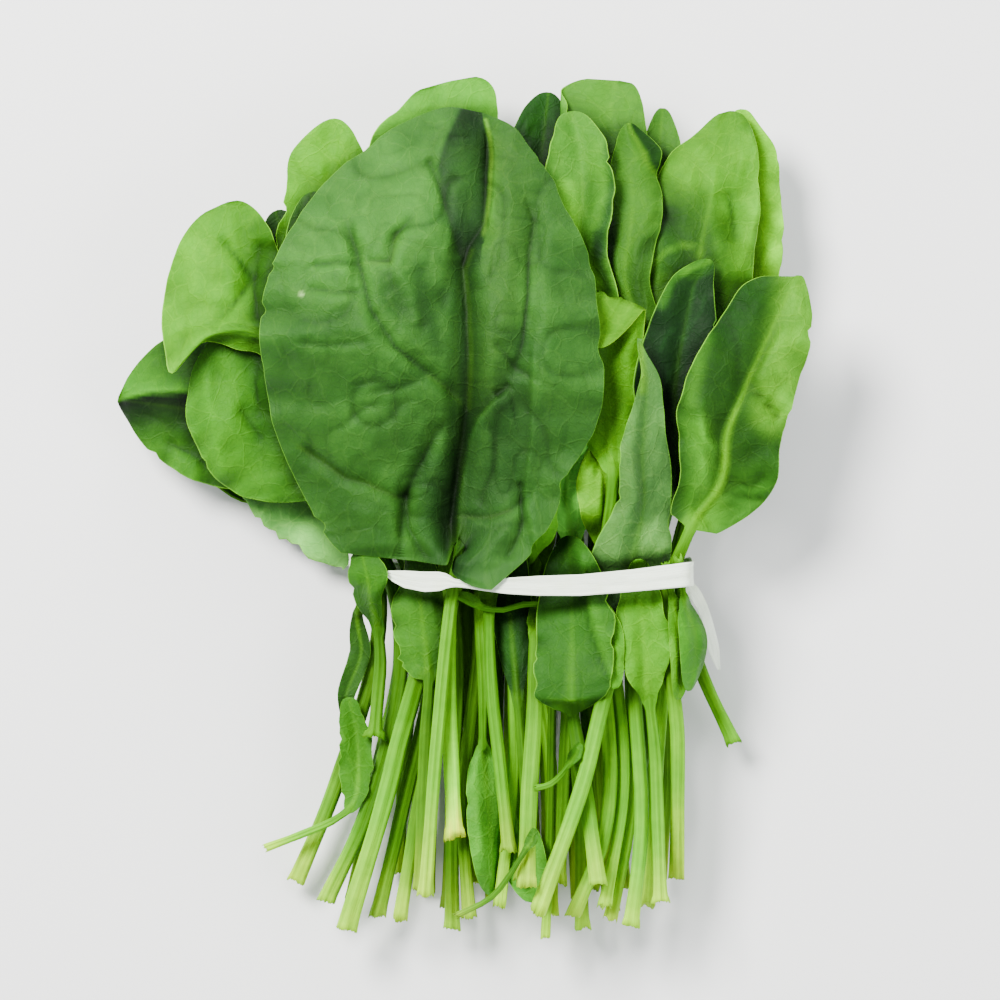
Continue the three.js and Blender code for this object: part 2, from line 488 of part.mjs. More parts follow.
// Finds every place where the underside of rows first..last lies over something: how far it
// has to rise there, and the handles that carry it with their shares.
function findContacts(rows, grid, first, last) {
  for (const triangle of patches(rows, first, last)) {
    const corners = triangle.map(([i, j]) => corner(rows[i][j], -1));
    const [a, b, c] = corners;
    const area = (b[0] - a[0]) * (c[1] - a[1]) - (c[0] - a[0]) * (b[1] - a[1]);
    if (Math.abs(area) < 1e-9) continue;
    visitCells(corners, (cell, polygon) => {
      if (fieldTop[cell] === -Infinity) return;
      for (const [x, y, z] of polygon) {
        const shareB = ((x - a[0]) * (c[1] - a[1]) - (c[0] - a[0]) * (y - a[1])) / area;
        const shareC = ((b[0] - a[0]) * (y - a[1]) - (x - a[0]) * (b[1] - a[1])) / area;
        const shares = new Map();
        [1 - shareB - shareC, shareB, shareC].forEach((share, k) => {
          const handle = grid[triangle[k][0]][triangle[k][1]];
          if (share > 1e-6) shares.set(handle, (shares.get(handle) ?? 0) + share);
        });
        const contact = { need: fieldTop[cell] + CLEARANCE - z, shares: [...shares] };
        shares.forEach((share, handle) => handle.contacts.push(contact));
      }
    });
  }
}

// The least that a handle must rise while the others stay.
function leastRise(handle) {
  let least = 0;
  for (const { need, shares } of handle.contacts) {
    let left = need;
    let own = 0;
    for (const [other, share] of shares) {
      if (other === handle) own = share;
      else left -= share * other.rise;
    }
    least = Math.max(least, left / own);
  }
  return least;
}

// Bends rows first..last up until they clear the field. Every handle starts as high as any of
// its contacts asks, then sinks toward its neighbours as far as the contacts let it, and at last
// hollows are bridged.
function settle(rows, first = 0, last = rows.length - 1) {
  const { handles, grid } = makeHandles(rows, first, last);
  findContacts(rows, grid, first, last);
  for (const handle of handles) {
    handle.rise = handle.contacts.reduce((most, { need }) => Math.max(most, need), 0);
  }
  for (let pass = 0; pass < SINKING_PASSES; pass += 1) {
    for (const handle of handles) {
      const average = handle.near.reduce((sum, other) => sum + other.rise, 0) / handle.near.length;
      handle.rise = Math.min(handle.rise, Math.max(leastRise(handle), average * SINKING));
    }
  }
  for (let pass = 0; pass < FILLING_PASSES; pass += 1) {
    for (const handle of handles) {
      const average = handle.near.reduce((sum, other) => sum + other.rise, 0) / handle.near.length;
      handle.rise = Math.max(handle.rise, average);
    }
  }
  for (const { points, rise } of handles.filter((handle) => handle.rise > LEAST_RISE)) {
    for (const point of points) point.z += rise;
  }
  addToField(rows, first, last);
}

// Nothing reaches below the surface: what would is pressed flat on it.
function pressOnSurface(rows) {
  for (const row of rows) {
    if (row[0].stalk) {
      const sunk = Math.max(0, ...row.map((point) => point.half - point.z));
      row.forEach((point) => { point.z += sunk; });
    } else {
      row.forEach((point) => { point.z = Math.max(point.z, point.half); });
    }
  }
}

// ---------------------------------------------------------------- solids
function closedGeometry(positions, indices) {
  const geometry = new THREE.BufferGeometry();
  geometry.setAttribute("position", new THREE.Float32BufferAttribute(positions, 3));
  geometry.setIndex(indices);
  geometry.computeVertexNormals();
  return geometry;
}

// The upper face, the lower face and the wall round the edge. Both faces split alike.
function leafGeometry(rows) {
  const columns = rows[0].length;
  const last = rows.length - 1;
  const positions = rows.flatMap((row) => [
    ...row.flatMap((point) => corner(point, 1)),
    ...row.flatMap((point) => corner(point, -1)),
  ]);
  const upper = ([i, j]) => i * columns * 2 + j;
  const lower = ([i, j]) => upper([i, j]) + columns;
  const indices = patches(rows, 0, last).flatMap(([a, b, c]) => [
    upper(a), upper(b), upper(c),
    lower(a), lower(c), lower(b),
  ]);
  const edge = [];
  for (let j = 0; j < columns; j += 1) edge.push([0, j]);
  for (let i = 1; i <= last; i += 1) edge.push([i, columns - 1]);
  for (let j = columns - 2; j >= 0; j -= 1) edge.push([last, j]);
  for (let i = last - 1; i > 0; i -= 1) edge.push([i, 0]);
  edge.forEach((from, k) => {
    const to = edge[(k + 1) % edge.length];
    indices.push(upper(from), lower(from), lower(to), upper(from), lower(to), upper(to));
  });
  return closedGeometry(positions, indices);
}

// ---------------------------------------------------------------- the tape
const tapeY = (x) => TAPE.lowY + TAPE.bend * (x - TAPE.centreX) ** 2;

// The inner side of the tape under the stalks, as [x, z] from left to right.
function tapeBelow() {
  const power = 2 / TAPE.squareness;
  const points = [];
  for (let k = 0; k <= TAPE.stepsBelow; k += 1) {
    const angle = Math.PI * (1 + k / TAPE.stepsBelow);
    const [c, s] = [Math.cos(angle), Math.abs(Math.sin(angle))];
    points.push([
      TAPE.centreX + TAPE.halfSpan * Math.sign(c) * Math.abs(c) ** power,
      TAPE.midHeight - TAPE.bottomDrop * s ** power,
    ]);
  }
  return points;
}

const tapeRows = (points) => points.map(([x, z]) => [-1, 1].map((side) => (
  { x, y: tapeY(x) + (side * TAPE.width) / 2, z, half: 0 }
)));

// The inner side of the tape over the stalks, pulled tight: the upper hull of what it holds,
// as [x, z] from right to left, without its two ends.
function tapeAbove() {
  const ends = [-1, 1].map((side) => [TAPE.centreX + side * TAPE.halfSpan, TAPE.midHeight]);
  const samples = [ends[0]];
  const columnAt = (x) => Math.floor((x - FIELD.left) / CELL);
  for (let column = columnAt(ends[0][0]) + 1; column < columnAt(ends[1][0]); column += 1) {
    const x = FIELD.left + column * CELL;
    const reach = TAPE.width / 2 + CELL;
    let top = -Infinity;
    for (let y = tapeY(x) - reach; y <= tapeY(x) + reach; y += CELL / 2) {
      top = Math.max(top, fieldTop[Math.floor((y - FIELD.bottom) / CELL) * fieldColumns + column]);
    }
    if (top > TAPE.midHeight) samples.push([x, top + CLEARANCE], [x + CELL, top + CLEARANCE]);
  }
  samples.push(ends[1]);
  const hull = [];
  for (const point of samples) {
    while (hull.length > 1) {
      const [a, b] = hull.slice(-2);
      const cross = (b[0] - a[0]) * (point[1] - a[1]) - (b[1] - a[1]) * (point[0] - a[0]);
      if (cross < 0) break;
      hull.pop();
    }
    hull.push(point);
  }
  const fine = hull.slice(0, -1).flatMap((point, k) => {
    const next = hull[k + 1];
    const pieces = Math.ceil(Math.hypot(next[0] - point[0], next[1] - point[1]) / TAPE.longestStep);
    return Array.from({ length: pieces }, (_, i) => [
      mix(point[0], next[0], i / pieces),
      mix(point[1], next[1], i / pieces),
    ]);
  });
  return fine.slice(1).reverse();
}

// The path moved outward by the tape's thickness, as a miter at each corner.
function offsetOutward(path, distance) {
  const normal = (a, b) => {
    const length = Math.hypot(b[0] - a[0], b[1] - a[1]);
    return [(b[1] - a[1]) / length, -(b[0] - a[0]) / length];
  };
  return path.map((point, k) => {
    const before = normal(path[(k + path.length - 1) % path.length], point);
    const after = normal(point, path[(k + 1) % path.length]);
    const scale = distance / (1 + before[0] * after[0] + before[1] * after[1]);
    return [point[0] + (before[0] + after[0]) * scale, point[1] + (before[1] + after[1]) * scale];
  });
}

function tapeLoop(inner) {
  const outer = offsetOutward(inner, TAPE.thickness);
  const positions = inner.flatMap(([x, z], k) => {
    const [low, high] = [tapeY(x) - TAPE.width / 2, tapeY(x) + TAPE.width / 2];
    const [outX, outZ] = outer[k];
    return [x, low, z, x, high, z, outX, high, outZ, outX, low, outZ];
  });
  const indices = [];
  const quad = (a, b, c, d) => indices.push(a, b, c, a, c, d);
  inner.forEach((point, k) => {
    const [from, to] = [4 * k, 4 * ((k + 1) % inner.length)];
    for (let side = 0; side < 4; side += 1) {
      const next = (side + 1) % 4;
      quad(from + side, to + side, to + next, from + next);
    }
  });
  return closedGeometry(positions, indices);
}

// The free end lies out to the right: its edges, from the loop to the point.
const TAIL = {
  inner: [[80.1, -23.4], [82, -30], [84.5, -40], [87.8, -55.5]],
  outer: [[80.1, -17], [84.5, -22], [88.5, -34], [89.6, -56]],
  height: [24, 27, 28, 24],
};

function tapeTail() {
  const half = TAPE.thickness / 2;
  const rows = TAIL.height.map((z, k) => [TAIL.inner[k], TAIL.outer[k]].map(([x, y]) => ({ x, y, z, half })));
  settle(rows, 1);
  return leafGeometry(rows);
}

const wasm = await Module();
wasm.setup();

function toSolid(geometry) {
  const bare = geometry.clone();
  bare.deleteAttribute("normal");
  const merged = mergeVertices(bare);
  return new wasm.Manifold(new wasm.Mesh({
    numProp: 3,
    vertProperties: new Float32Array(merged.attributes.position.array),
    triVerts: new Uint32Array(merged.index.array),
  }));
}

function tapeGeometry() {
  const loop = tapeLoop([...tapeBelow(), ...tapeAbove()]);
  const whole = toSolid(loop).add(toSolid(tapeTail())).getMesh();
  return closedGeometry(Array.from(whole.vertProperties), Array.from(whole.triVerts));
}

// ---------------------------------------------------------------- the bunch
const bunch = new THREE.Group();
bunch.position.set(CENTRE_SHIFT[0], CENTRE_SHIFT[1], 0);

function addMesh(name, geometry, colour, roughness) {
  const material = new THREE.MeshStandardMaterial({ color: colour, roughness, metalness: 0 });
  const mesh = new THREE.Mesh(geometry, material);
  mesh.name = name;
  bunch.add(mesh);
}

// The wide leaves share out the height of the pile evenly. A narrow one goes with the last of them.
const isWide = (leaf) => leaf.left + leaf.right > NARROW;
const leaves = [...underLeaves(), ...SHOWN_LEAVES].map((leaf, index, all) => {
  const place = all.slice(0, index + 1).filter(isWide).length - 1;
  const rows = leafRows(leaf, place / (all.filter(isWide).length - 1));
  pressOnSurface(rows);
  return { leaf, rows };
});
const front = leaves[leaves.length - 1];
const stalkEnd = (rows) => rows.filter((row) => row[0].stalk).length - 1;

addToField(tapeRows(tapeBelow()), 0, TAPE.stepsBelow);
const below = leaves.filter(({ leaf }) => !leaf.overTape);
for (const { leaf, rows } of below) settle(rows, 0, leaf.bladeLate ? stalkEnd(rows) : rows.length - 1);
for (const { rows } of below.filter(({ leaf }) => leaf.bladeLate)) settle(rows, stalkEnd(rows));
settle(front.rows, 0, stalkEnd(front.rows));
addMesh("tape", tapeGeometry(), TAPE_COLOUR, 0.55);
const above = offsetOutward(tapeAbove(), TAPE.thickness);
addToField(tapeRows(above), 0, above.length - 1);
leaves.filter(({ leaf }) => leaf.overTape && leaf !== front.leaf).forEach(({ rows }) => settle(rows));
settle(front.rows, stalkEnd(front.rows));

leaves.forEach(({ leaf, rows }) => {
  const name = leaf.name.startsWith("leaf_") ? leaf.name : `leaf_${leaf.name}`;
  addMesh(name, leafGeometry(rows), COLOURS[leaf.tone], 0.5);
});

export default bunch;
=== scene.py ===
"""A tied bunch of spinach lying on its back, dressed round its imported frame.

Every leaf keeps the path, the width and the heights of its CAD solid. Here it gets a fine
grid, with veins, quilting between them, ruffled margins, creases and a grooved stalk.
"""

import math
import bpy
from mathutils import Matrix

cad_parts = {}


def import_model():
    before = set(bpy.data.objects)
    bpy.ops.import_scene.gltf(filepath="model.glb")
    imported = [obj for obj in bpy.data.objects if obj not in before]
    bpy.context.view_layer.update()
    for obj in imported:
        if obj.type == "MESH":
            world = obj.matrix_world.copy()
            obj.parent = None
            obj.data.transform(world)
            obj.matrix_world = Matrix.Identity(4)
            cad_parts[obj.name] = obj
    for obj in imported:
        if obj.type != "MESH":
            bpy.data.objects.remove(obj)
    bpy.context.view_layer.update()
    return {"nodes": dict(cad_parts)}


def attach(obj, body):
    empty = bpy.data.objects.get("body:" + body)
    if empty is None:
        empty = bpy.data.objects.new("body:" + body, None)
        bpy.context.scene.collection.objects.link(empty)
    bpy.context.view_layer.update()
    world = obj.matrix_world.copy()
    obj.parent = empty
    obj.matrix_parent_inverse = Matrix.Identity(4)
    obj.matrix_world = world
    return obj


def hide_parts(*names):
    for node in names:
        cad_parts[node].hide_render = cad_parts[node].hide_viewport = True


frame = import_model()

from types import SimpleNamespace

import bpy
import numpy as np
from mathutils import Vector

MM = 0.001
PICTURE_PX = 1000
PX = 0.35  # millimetres in one pixel of the picture
ORIGIN_PX = (463, 507)  # the pixel over the row's origin
SHIFT_Y = 1.0  # the CAD bunch stands this far along +Y from its own table of paths
SEED = 20261124


def at_pixel(u, v):
    return (u - ORIGIN_PX[0]) * PX, (ORIGIN_PX[1] - v) * PX


# ------------------------------------------------------------------ camera, floor and light
CAMERA_HEIGHT = 2.0
REFERENCE_Z = 0.04  # the height at which PX holds
MIDDLE_PX = (500, 500)
LIT_PLACE = (0, 0, 0.03)
# place and size in m, power in W, colour
LIGHTS = {
    "key": ((-0.6, 0.65, 1.42), 0.6, 80, (1.0, 0.99, 0.96)),
    "fill": ((1.0, -0.3, 1.1), 1.0, 14, (0.97, 0.99, 1.0)),
    "rim": ((0.2, 1.3, 0.6), 0.8, 12, (1.0, 1.0, 1.0)),
}
SKY, SKY_STRENGTH = (0.95, 0.98, 1.0, 1), 0.7
FLOOR_SIZE, FLOOR_Z, PAPER = 8, -0.0006, (0.93, 0.93, 0.93, 1)


def put_in(name, data):
    item = bpy.data.objects.new(name, data)
    bpy.context.scene.collection.objects.link(item)
    return item


def look():
    data = bpy.data.cameras.new("camera")
    data.sensor_width = 36
    data.lens = data.sensor_width * CAMERA_HEIGHT / (PICTURE_PX * PX * MM)
    data.clip_start = 0.1
    data.clip_end = 20
    camera = put_in("camera", data)
    x, y = at_pixel(*MIDDLE_PX)
    camera.location = (x * MM, y * MM, REFERENCE_Z + CAMERA_HEIGHT)
    bpy.context.scene.camera = camera

    for name, (place, size, power, colour) in LIGHTS.items():
        light = bpy.data.lights.new(name, "AREA")
        light.shape = "DISK"
        light.size = size
        light.energy = power
        light.color = colour
        lamp = put_in(name, light)
        lamp.location = place
        lamp.rotation_mode = "QUATERNION"
        lamp.rotation_quaternion = (Vector(LIT_PLACE) - Vector(place)).to_track_quat("-Z", "Y")

    world = bpy.data.worlds.new("studio")
    bpy.context.scene.world = world
    world.use_nodes = True
    back = world.node_tree.nodes["Background"]
    back.inputs["Color"].default_value = SKY
    back.inputs["Strength"].default_value = SKY_STRENGTH

    bpy.ops.mesh.primitive_plane_add(size=FLOOR_SIZE, location=(0, 0, FLOOR_Z))
    floor = bpy.context.object
    floor.name = "floor"
    paper = bpy.data.materials.new("floor_paper")
    paper.use_nodes = True
    shader = paper.node_tree.nodes["Principled BSDF"]
    shader.inputs["Base Color"].default_value = PAPER
    shader.inputs["Roughness"].default_value = 0.9
    floor.data.materials.append(paper)


look()

# ------------------------------------------------------------------ the leaves, as in the CAD
# How the blade bulges, and how blunt its base and its tip are, as (left, right).
FORMS = {
    "broad": (0.82, (0.5, 0.5), (0.48, 0.48)),
    "round": (1.0, (0.62, 0.62), (0.42, 0.42)),
    "oval": (1.0, (0.85, 0.85), (0.52, 0.52)),
    "spoon": (1.4, (0.9, 0.9), (0.48, 0.48)),
    "pointed": (0.95, (0.55, 0.55), (0.8, 0.42)),
    "blunt": (0.9, (0.5, 0.5), (0.16, 0.45)),
    "front": (0.85, (0.33, 0.8), (0.5, 0.72)),
    "wide": (1.0, (0.62, 0.62), (0.24, 0.26)),
    "high": (1.25, (0.9, 0.7), (0.38, 0.42)),
    "tall": (0.45, (0.5, 0.5), (1.4, 0.8)),
    "square": (0.8, (0.25, 0.3), (0.5, 0.5)),
}


def leaf(name, tone, form, stalk, left, right, path, lobe=(0, 0), few=False):
    return SimpleNamespace(
        name=name, tone=tone, form=FORMS[form], stalk=stalk, widths=(left, right),
        path=np.array(path, float), lobe=lobe, few=few,
    )


def leaf_of(row):
    name, tone, form, *rest = row.split()
    path = [point.split(",") for point in rest[3:9]]
    sizes, lobe = map(float, rest[:3]), tuple(map(float, rest[9:]))
    return leaf(name, tone, form, *sizes, path, lobe or (0, 0))


# Each is laid over the ones before it: name, tone, form, the stalk's width, the blade's width to
# the left and to the right of the midrib, and the path, through the cut end, the knee, the tie,
# the blade's base, its middle and its tip, in mm. Two last numbers are how far the lobes hang.
SHOWN = [leaf_of(row) for row in """
lower_left_pale pale broad 5.5 16 10  -39,-139 -32,-103 -25,-26 -35,-8 -54,0 -79,10
far_left mid pointed 6 22.5 35  -59,-133 -45,-99 -31,-23 -51,16 -87,31 -121,37
top_dark dark oval 8.5 17.5 16  6,-132 4,-82 2,-27 16,30 24,90 30,145
left_dark dark oval 5.5 12.5 12  -4,-149 -4,-113 -6,-27 -32,27 -57,72 -66,103
right_back light oval 5 13.5 11  95,-83 84,-59 75,-22 91,30 100,86 101,138
top_small mid oval 4.5 8.5 10  70,-132 72,-103 69,-27 65,37 67,93 70,139
top_pale light wide 5 30 22.5  2,-144 0,-113 5,-27 -9,30 -9,90 -5,150
top_fold mid wide 5 19 14  42,-149 41,-103 33,-27 44,30 50,90 54,149
upper_left light oval 5.5 20.5 17  -30,-144 -22,-110 -9,-29 -27,30 -44,85 -46,135
inner_right mid oval 4.5 12.5 10.5  62,-132 64,-103 65,-27 73,27 77,58 78,91
upper_right light round 6.5 23 18  45,-134 62,-92 65,-29 79,30 82,83 94,138
left_narrow dark oval 5 14.5 14.5  -22,-144 -17,-113 -6,-29 -32,30 -48,72 -53,109
upper_roll mid oval 5 9 9.5  52,-145 57,-120 59,-29 63,30 59,90 58,133
upper_cup light spoon 5 14 11  31,-143 31,-96 24,-29 48,37 43,93 40,138
left_low mid round 6 26.5 23  -48,-139 -35,-111 -27,-23 -46,5 -68,30 -88,54
left_high light high 7 28 17.5  -41,-149 -24,-90 -14,-29 -49,20 -75,62 -83,105
thin_end yellow oval 3.5 5.5 5.5  29,-152 30,-131 31,-89 29,-19 26,-5 24,13
yellow_under yellow oval 5 11 11  65,-139 68,-96 68,-27 56,6 52,34 56,64
blade_low mid round 4 6.5 7  5,-24 6,-47 7,-68 7,-86 9,-110 11,-138
curl_low mid round 3 7.5 7  19,-26 20,-61 21,-89 20,-110 21,-124 25,-140
shade_mid mid oval 4.5 9 10  34,-131 35,-103 38,-27 38,-13 36,6 42,26
shade_left mid oval 4.5 10.5 9  13,-139 17,-103 20,-29 22,-19 24,-5 30,13
small_bright yellow round 4.5 7.5 7.5  50,-139 56,-103 50,-29 49,-13 48,4 48,22
yellow_young yellow round 5.5 11.5 11  39,-143 48,-120 48,-29 52,13 50,41 55,75
right_dark dark oval 5.5 13.5 11.5  59,-146 62,-120 62,-29 72,2 74,43 82,86
blade_centre mid square 6 11.5 13.5  47,-131 43,-103 40,-84 38,-70 38,-44 37,-11  3 3
centre_right dark tall 6 14 12.5  27,-139 42,-96 50,-64 56,-45 61,2 65,59  6 6
right_large light blunt 5.5 19 17  75,-131 75,-82 72,-27 80,-6 96,36 116,80  6 6
blade_narrow dark oval 4 5.5 7  20,-131 22,-106 21,-92 19,-68 16,-33 13,9
left_tag dark oval 3 4 3.5  -30,-12 -33,-22 -35,-31 -37,-38 -40,-54 -42,-75
torn_left mid broad 5 10.5 10  -15,-134 -14,-103 -13,-80 -12,-59 -14,-43 -16,-15  3 3
blade_right light oval 5 9 8.5  69,-138 68,-110 67,-85 65,-68 63,-47 61,-19
tag_right light oval 3 4 3.5  71,-21 72,-25 72,-29 73,-33 76,-48 75,-68
tag_outer dark oval 3 3.5 5  75,-20 76,-24 76,-28 77,-33 81,-47 79,-65
curl_left mid round 3 6.5 5  -69,-121 -56,-116 -45,-111 -40,-107 -37,-89 -40,-68
tag_centre light oval 3 5 4.5  44,-23 45,-26 46,-28 47,-32 50,-47 53,-64
mid_stalk light oval 6 4 4  -3,-114 -4,-92 -5,-64 -4,-33 -3,-17 0,2
inner_stalk light oval 5 4 4  16,-120 13,-92 10,-64 9,-36 9,-19 10,2
front_stalk light round 6.5 3 3  22,-130 23,-103 25,-71 26,-44 27,-39 26,-33
thin_stem mid oval 3 1.5 1.5  -1,-142 10,-136 17,-127 22,-119 24,-116 25,-112
cross_stem light oval 3 1.5 1.5  28,-35 21,-35 13,-37 7,-36 2,-33 -3,-31
cross_low mid oval 3 1.5 1.5  26,-98 30,-97 34,-94 37,-90 39,-87 41,-83
left_drop mid spoon 5 8 7.5  -31,-80 -30,-68 -29,-55 -30,-43 -33,-30 -35,-16
front_large dark front 5 66.5 50  -13,-135 -9,-83 -4,-33 -1,-12 -2,62 7,139  17 26
""".strip().splitlines()]


def under_leaves():
    """The leaves underneath, by the CAD source's own rule and in its order of draws."""
    state = 20261123

    def draw(low, high):
        nonlocal state
        state = (state * 1664525 + 1013904223) % 2**32
        return low + (high - low) * state / 2**32

    made = []
    for k in range(13):
        place = (k * 5 % 13) / 12
        degrees = -66 + 120 * place + draw(-4, 4)
        angle = math.radians(degrees)
        shorten = 0.012 if degrees > 0 else 0.0048
        reach = (165 - shorten * degrees * degrees) * draw(0.86, 0.95)

        def out(share):
            return 13 + math.sin(angle) * reach * share, -19 + math.cos(angle) * reach * share

        tie = 20 + degrees / 66 * 38
        cut = 14 + (tie - 14) * draw(1.1, 1.3)
        cut_y = draw(-145, -126)
        stalk, left, right = draw(4.5, 6.5), draw(16, 21), draw(16, 21)
        base = out(draw(0.4, 0.48))
        path = [(cut, cut_y), ((cut + tie) / 2, -88), (tie, -28), base, out(0.7), out(1)]
        draw(0, 1)
        tone = "light" if k % 3 == 1 else "mid"
        made.append(leaf(f"under_{k + 1:02d}", tone, "round", stalk, left, right, path, few=True))
    return made


LEAVES = under_leaves() + SHOWN

# q counts a path's points: 0 at the cut end, 1 the knee, 2 the tie, 3 the blade's base and 5 its
# tip. s runs from 0 to 1 along the blade, and t from -1 to 1 across it.
BASE_Q = 3
STALK_ROWS = [0, 0.15, 1, 1.5, 2, 2.5, 3]
BLADE_ROWS = [0.04, 0.14, 0.3, 0.48, 0.66, 0.81, 0.91, 0.97, 1]
FEW_STALK_ROWS = [0, 1, 2, 3]
FEW_BLADE_ROWS = [0.08, 0.25, 0.5, 0.75, 0.94, 1]
STALK_FLARE, STALK_AT_TIE, STALK_AT_BLADE, RIB_TIP = 1.25, 0.95, 0.7, 0.6
SHORT_BLADE, WIDE_BLADE, SAME_PLACE = 40, 44, 0.02  # mm
SHOULDER, TURN, TURN_WITHIN, RIB_TAPER, LOBE_FADE = 1.3, 0.85, 0.25, 1.3, 6


def mix(a, b, share):
    return a + (b - a) * share


def smooth(x):
    x = np.clip(x, 0, 1)
    return x * x * (3 - 2 * x)


def unit(v):
    return v / np.linalg.norm(v, axis=-1, keepdims=True)


def lengths_of(line):
    return np.linalg.norm(np.diff(line, axis=0), axis=1)


def running(steps):
    return np.concatenate([[0], np.cumsum(steps)])


def weighed(parts, weights):
    return sum(part * weight for part, weight in zip(parts, weights))


def cubic(f):
    """The weights, at f, of a cubic's start, the slope there, its end and the slope there."""
    return 2 * f**3 - 3 * f**2 + 1, f**3 - 2 * f**2 + f, 3 * f**2 - 2 * f**3, f**3 - f**2


def cubic_slope(f):
    return 6 * f**2 - 6 * f, 3 * f**2 - 4 * f + 1, 6 * f - 6 * f**2, 3 * f**2 - 2 * f


def along_path(points, q):
    """The smooth curve through the path's points, at each q, with its direction."""
    step = lengths_of(points)
    chord = np.diff(points, axis=0) / step[:, None]
    tangent = np.empty_like(points)
    tangent[0], tangent[-1] = chord[0], chord[-1]
    before, after = step[:-1, None], step[1:, None]
    tangent[1:-1] = (chord[:-1] * after + chord[1:] * before) / (before + after)
    i = np.minimum(q.astype(int), len(points) - 2)
    f, pace = (q - i)[:, None], step[i, None]
    parts = points[i], tangent[i] * pace, points[i + 1], tangent[i + 1] * pace
    return weighed(parts, cubic(f)), weighed(parts, cubic_slope(f))


def rib_radius(one, q):
    radius = one.stalk / 2
    s = np.clip((q - BASE_Q) / 2, 0, 1)
    return np.select(
        [q < 1, q < 2, q < BASE_Q],
        [radius * mix(STALK_FLARE, 1, smooth(q / 0.6)),
         radius * mix(1, STALK_AT_TIE, q - 1),
         radius * mix(STALK_AT_TIE, STALK_AT_BLADE, q - 2)],
        mix(RIB_TIP, radius * STALK_AT_BLADE, (1 - s) ** RIB_TAPER),
    )


def blade_width(one, s, side):
    bulge, base, tip = one.form
    blunt = mix(base[side], tip[side], s)
    return one.widths[side] * np.abs(np.sin(np.pi * np.minimum(1, s**bulge))) ** blunt


def of_side(right, pair):
    return np.where(right, pair[1], pair[0])


def frame_rows(one, q):
    """Centre, direction and sideways direction of the rows at q, and their s on the blade."""
    centre, direction = along_path(one.path, q)
    chord = one.path[5] - one.path[BASE_Q]
    s = np.maximum(0, (q - BASE_Q) / 2)[:, None]
    turn = TURN * np.minimum(1, s / TURN_WITHIN)
    along = unit(mix(unit(direction), chord / np.linalg.norm(chord), turn))
    side = np.stack([along[:, 1], -along[:, 0]], axis=1)
    return (centre + [0, SHIFT_Y], along, side), s


def lay(rows, share, distance, back):
    """x and y of a grid: so far sideways of each row's centre, and so far back along it."""
    centre, along, side = (part[:, None] for part in rows)
    grid = centre + side * share[:, None] * distance[..., None] - along * back[..., None]
    return grid[..., 0], grid[..., 1]


def node_points(node):
    mesh = frame["nodes"][node].data
    points = np.empty(len(mesh.vertices) * 3, np.float32)
    mesh.vertices.foreach_get("co", points)
    return points.reshape(-1, 3).astype(float) / MM


def cad_grid(one):
    """The CAD solid's own grid: q of the rows, t of the columns, the height of the middle there,
    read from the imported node, and s of the blade's first row."""
    few = one.few or np.linalg.norm(one.path[5] - one.path[BASE_Q]) < SHORT_BLADE
    blade = FEW_BLADE_ROWS if few else BLADE_ROWS
    q = np.array((FEW_STALK_ROWS if few else STALK_ROWS) + [BASE_Q + 2 * s for s in blade], float)
    t = np.linspace(-1, 1, 7 if sum(one.widths) > WIDE_BLADE else 5)
    rows, s = frame_rows(one, q)
    rib = rib_radius(one, q)[:, None]
    widths = of_side(t >= 0, [blade_width(one, s, side) for side in (0, 1)])
    half = np.where(s > 0, rib + widths, rib)
    swept = of_side(t >= 0, one.lobe) * (1 - s) ** LOBE_FADE
    swept = np.where(q[:, None] == BASE_Q, SHOULDER * rib, swept)
    x, y = lay(rows, t, half, np.where(q[:, None] < BASE_Q, 0, swept * t * t))
    points = node_points("leaf_" + one.name)
    middle = np.empty(x.shape)
    for i, j in np.ndindex(x.shape):
        near = np.hypot(points[:, 0] - x[i, j], points[:, 1] - y[i, j])
        here = points[near < SAME_PLACE, 2]
        if len(here) < 2:
            raise ValueError(f"{one.name}: no CAD point at row {i}, column {j}")
        middle[i, j] = (here.max() + here.min()) / 2
    return q, t, middle, blade[0]


# ------------------------------------------------------------------ helpers for the fine grids
def slopes(x, y):
    h = np.diff(x)[:, None]
    d = np.diff(y, axis=0) / h
    m = np.empty_like(y)
    m[0], m[-1] = d[0], d[-1]
    w1, w2 = 2 * h[1:] + h[:-1], h[1:] + 2 * h[:-1]
    same = d[:-1] * d[1:] > 0
    a, b = np.where(same, d[:-1], 1), np.where(same, d[1:], 1)
    m[1:-1] = np.where(same, (w1 + w2) / (w1 / a + w2 / b), 0)
    return m


def pchip(x, y, at):
    """Passes through y at x without overshooting, read at each of at."""
    m = slopes(x, y)
    k = np.clip(np.searchsorted(x, at, side="right") - 1, 0, len(x) - 2)
    h = (x[k + 1] - x[k])[:, None]
    f = ((at - x[k]) / (x[k + 1] - x[k]))[:, None]
    return weighed((y[k], m[k] * h, y[k + 1], m[k + 1] * h), cubic(f))


LATTICE = np.random.default_rng(SEED).uniform(-1, 1, (64, 64))


def pick(i, j):
    return LATTICE[i % 64, j % 64]


def noise(x, y, offset=0.0):
    """Smooth noise from -1 to 1, with a grid step of 1."""
    x, y = np.asarray(x) + offset * 7.31, np.asarray(y) + offset * 3.77
    i, j = np.floor(x).astype(int), np.floor(y).astype(int)
    f, g = smooth(x - i), smooth(y - j)
    return mix(mix(pick(i, j), pick(i + 1, j), f), mix(pick(i, j + 1), pick(i + 1, j + 1), f), g)


def bell(x):
    return np.exp(-(x**2))


def tapered(share, ends, extra=0.0):
    """1 along a mark, fading at both its ends."""
    return smooth(np.minimum(share, 1 - share) / ends + extra)


